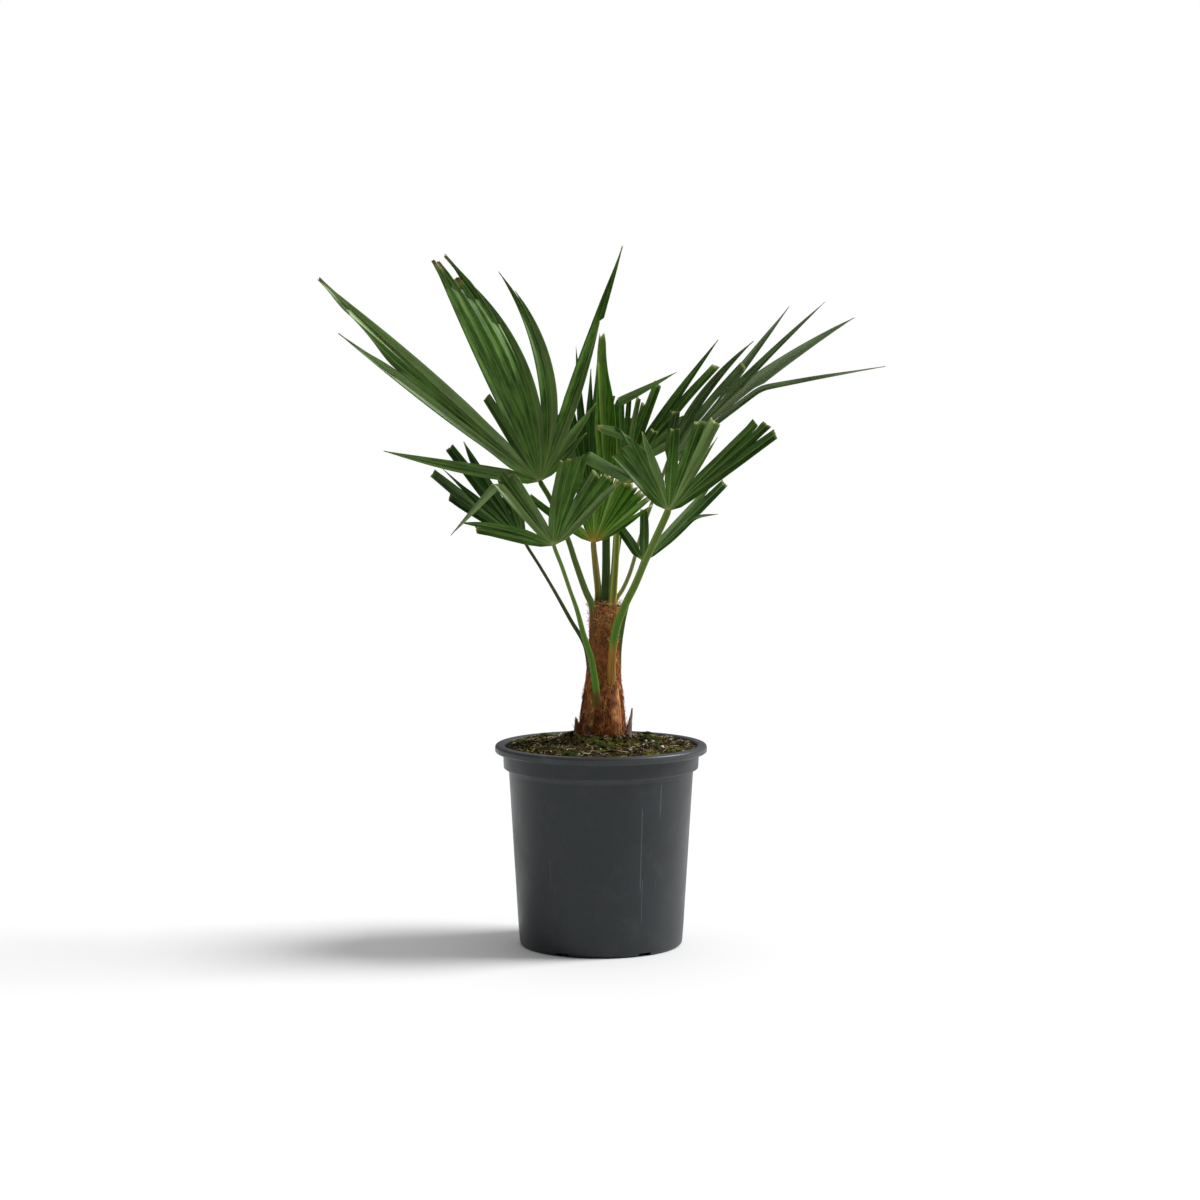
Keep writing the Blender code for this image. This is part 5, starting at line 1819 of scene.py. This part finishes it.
class Bits(Gathered):
    """Small irregular lumps."""

    def __init__(self, detail):
        super().__init__()
        shape = bmesh.new()
        bmesh.ops.create_icosphere(shape, subdivisions=detail, radius=1)
        self.shape = [v.co.copy() for v in shape.verts]
        self.sides = [tuple(v.index for v in f.verts) for f in shape.faces]
        shape.free()

    def add(self, chance, place, size, tone, rough=0.35):
        start = len(self.points)
        turn = Matrix.Rotation(chance.uniform(0, 2 * pi), 3, "Z")
        turn = turn @ Matrix.Rotation(chance.gauss(0, 0.5), 3, "X")
        seed = Vector((chance.uniform(0, 99), 0, 0))
        for corner in self.shape:
            bulge = 1 + rough * noise.noise(corner * 1.4 + seed) * 2
            self.points.append(place + turn @ (corner * Vector(size) * bulge))
        self.faces += [tuple(start + i for i in side) for side in self.sides]
        self.grain += [(0, 0, tone)] * len(self.shape)

    def strew(self, chance, count, sizes, stretch, breadth, depth):
        """Strews lumps on the soil. breadth and depth are shares of their sizes."""
        for _ in range(count):
            size = chance.uniform(*sizes)
            place = scatter(chance)
            extent = (size * chance.uniform(*stretch), size * breadth, size * depth)
            self.add(chance, place, extent, chance.random())


def on_ground(x, y, rise=0.0):
    return Vector((x, y, ground_height(x, y) + rise))


def scatter(chance, inner=0.021, outer=0.0915):
    """A place on the soil, evenly spread between these distances from the middle."""
    radius = (chance.uniform(inner**2, outer**2)) ** 0.5
    turn = chance.uniform(0, 2 * pi)
    return on_ground(radius * cos(turn), radius * sin(turn))


def make_crumbs(chance):
    """Peat crumbs and chips of bark."""
    for name, finish, *lumps in STREWN:
        bits = Bits(2)
        bits.strew(chance, *lumps)
        settle(bits.build(name, crumb_finish(finish)), "potting_soil")


def make_grit(chance):
    """White grit: some larger grains in known places, and small ones anywhere."""
    grit = Bits(3)
    for place in GRIT_PLACES:
        size = chance.uniform(0.0014, 0.0022)
        extent = (size, size * 0.9, size * 0.85)
        grit.add(chance, on_ground(*place, 0.0007), extent, chance.random(), 0.2)
    for _ in range(SMALL_GRIT):
        size = chance.uniform(0.0005, 0.0013)
        grit.add(chance, scatter(chance), (size * 1.2, size, size), chance.random(), 0.25)
    settle(grit.build("white_grit", crumb_finish("white_grit")), "potting_soil")


def rootlet(chance):
    """The route of a rootlet on the soil, cut off at the pot's wall."""
    start = scatter(chance, 0.018, 0.089)
    turn = chance.uniform(0, 2 * pi)
    length = chance.uniform(0.004, 0.014)
    bend = chance.gauss(0, 0.9)
    route = []
    for i in range(9):
        share = i / 8
        x = start.x + length * share * cos(turn + bend * share)
        y = start.y + length * share * sin(turn + bend * share)
        if hypot(x, y) > ROOTLET_REACH:
            break
        route.append(on_ground(x, y, 0.0005 + 0.0012 * sin(pi * share) * chance.random()))
    return route


def make_rootlets(chance):
    roots = Threads(5)
    for _ in range(ROOTLETS):
        route = rootlet(chance)
        if len(route) > 3:
            roots.add(route, chance.uniform(0.00012, 0.00028), chance.random(), 0.6)
    settle(roots.build("pale_rootlets", strand_finish("rootlet")), "potting_soil")


def make_soil_bits():
    chance = random.Random("soil bits")
    make_crumbs(chance)
    make_grit(chance)
    make_rootlets(chance)


def moss_cushion(number, azimuth, reach, radius, height):
    """A knobbly mound covered with short leafy tips."""
    chance = random.Random(f"moss {number}")
    middle = Vector((reach * sin(azimuth), -reach * cos(azimuth), 0))
    cushion, tips = Bits(4), Bits(1)
    spot = on_ground(middle.x, middle.y, -height * 0.25)
    cushion.add(chance, spot, (radius * 0.86, radius * 0.74, height * 0.95), 0.25, 0.22)
    for _ in range(MOSS_TIPS):
        spread = chance.random() ** 0.5
        around = chance.uniform(0, 2 * pi)
        x = middle.x + radius * 0.92 * spread * cos(around)
        y = middle.y + radius * 0.78 * spread * sin(around)
        rise = height * 0.72 * max(0, 1 - spread**2) ** 0.5
        size = chance.uniform(0.00035, 0.00085)
        extent = (size, size, size * chance.uniform(1.2, 2.4))
        tips.add(chance, on_ground(x, y, rise - height * 0.22), extent, chance.random())
    cushion.take(tips)
    return cushion


def make_moss():
    finish = crumb_finish("moss_green")
    for number, (azimuth, *sizes) in enumerate(MOSS, 1):
        cushion = moss_cushion(number, radians(azimuth), *sizes)
        settle(cushion.build(f"moss_cushion_{number}", finish), "moss", f"moss_{number}")


# ---- room ----
def make_floor():
    finish = Finish("pale_floor", 0.75, Base_Color=(*FLOOR_GREY, 1)).material
    half = FLOOR_SIZE / 2
    corners = [(-half, -half, 0), (half, -half, 0), (half, half, 0), (-half, half, 0)]
    build_mesh("floor", corners, [(0, 1, 2, 3)], [finish], False)


def make_sky():
    """A soft sky that is darker below, and white where the camera looks at it."""
    world = bpy.data.worlds.new("studio")
    bpy.context.scene.world = world
    world.use_nodes = True
    tree = world.node_tree
    background = tree.nodes["Background"]
    x, y, z = parts_of(Value(put(tree, "TexCoord").outputs["Generated"]))
    height = times_plus(x, SKY_LEAN[0], times_plus(y, SKY_LEAN[1], z))
    rays = put(tree, "LightPath").outputs
    mirrored = times_plus(Value(rays["Is Glossy Ray"]), MIRRORED_SKY - 1, 1.0)
    overhead = span(height, 0.0, 0.90, *SKY) * mirrored
    strength = sums("MAXIMUM", overhead, Value(rays["Is Camera Ray"]))
    feed(background.inputs["Strength"], strength)
    background.inputs["Color"].default_value = (1, 1, 1, 1)


def make_key():
    """One soft sun from the right, a little to the back."""
    key = bpy.data.lights.new("key", "SUN")
    key.energy = KEY_POWER
    key.angle = KEY_SOFTNESS
    obj = bpy.data.objects.new("key", key)
    azimuth, height = KEY_FROM
    source = Vector((cos(height) * cos(azimuth), cos(height) * sin(azimuth), sin(height)))
    obj.rotation_euler = source.to_track_quat("Z", "Y").to_euler()
    bpy.context.scene.collection.objects.link(obj)


def make_room():
    """A pale floor, a white backdrop for the camera, and the soft light of a studio."""
    make_floor()
    make_sky()
    make_key()
    bpy.context.scene.view_settings.view_transform = "Standard"


def make_camera():
    camera = bpy.data.cameras.new("camera")
    camera.lens = CAMERA_LENS
    camera.sensor_width = 36
    camera.clip_start = 0.1
    camera.clip_end = 60
    obj = bpy.data.objects.new("camera", camera)
    obj.location = CAMERA_PLACE
    obj.rotation_euler = (pi / 2 - CAMERA_DIP, 0, 0)
    bpy.context.scene.collection.objects.link(obj)
    bpy.context.scene.camera = obj


make_camera()
make_room()
make_pot()
make_soil()
make_soil_bits()
make_moss()
make_bark()
make_sleeve()
make_leaf_bases()
make_stem_threads()
make_tufts()
make_leaves()
make_spear()
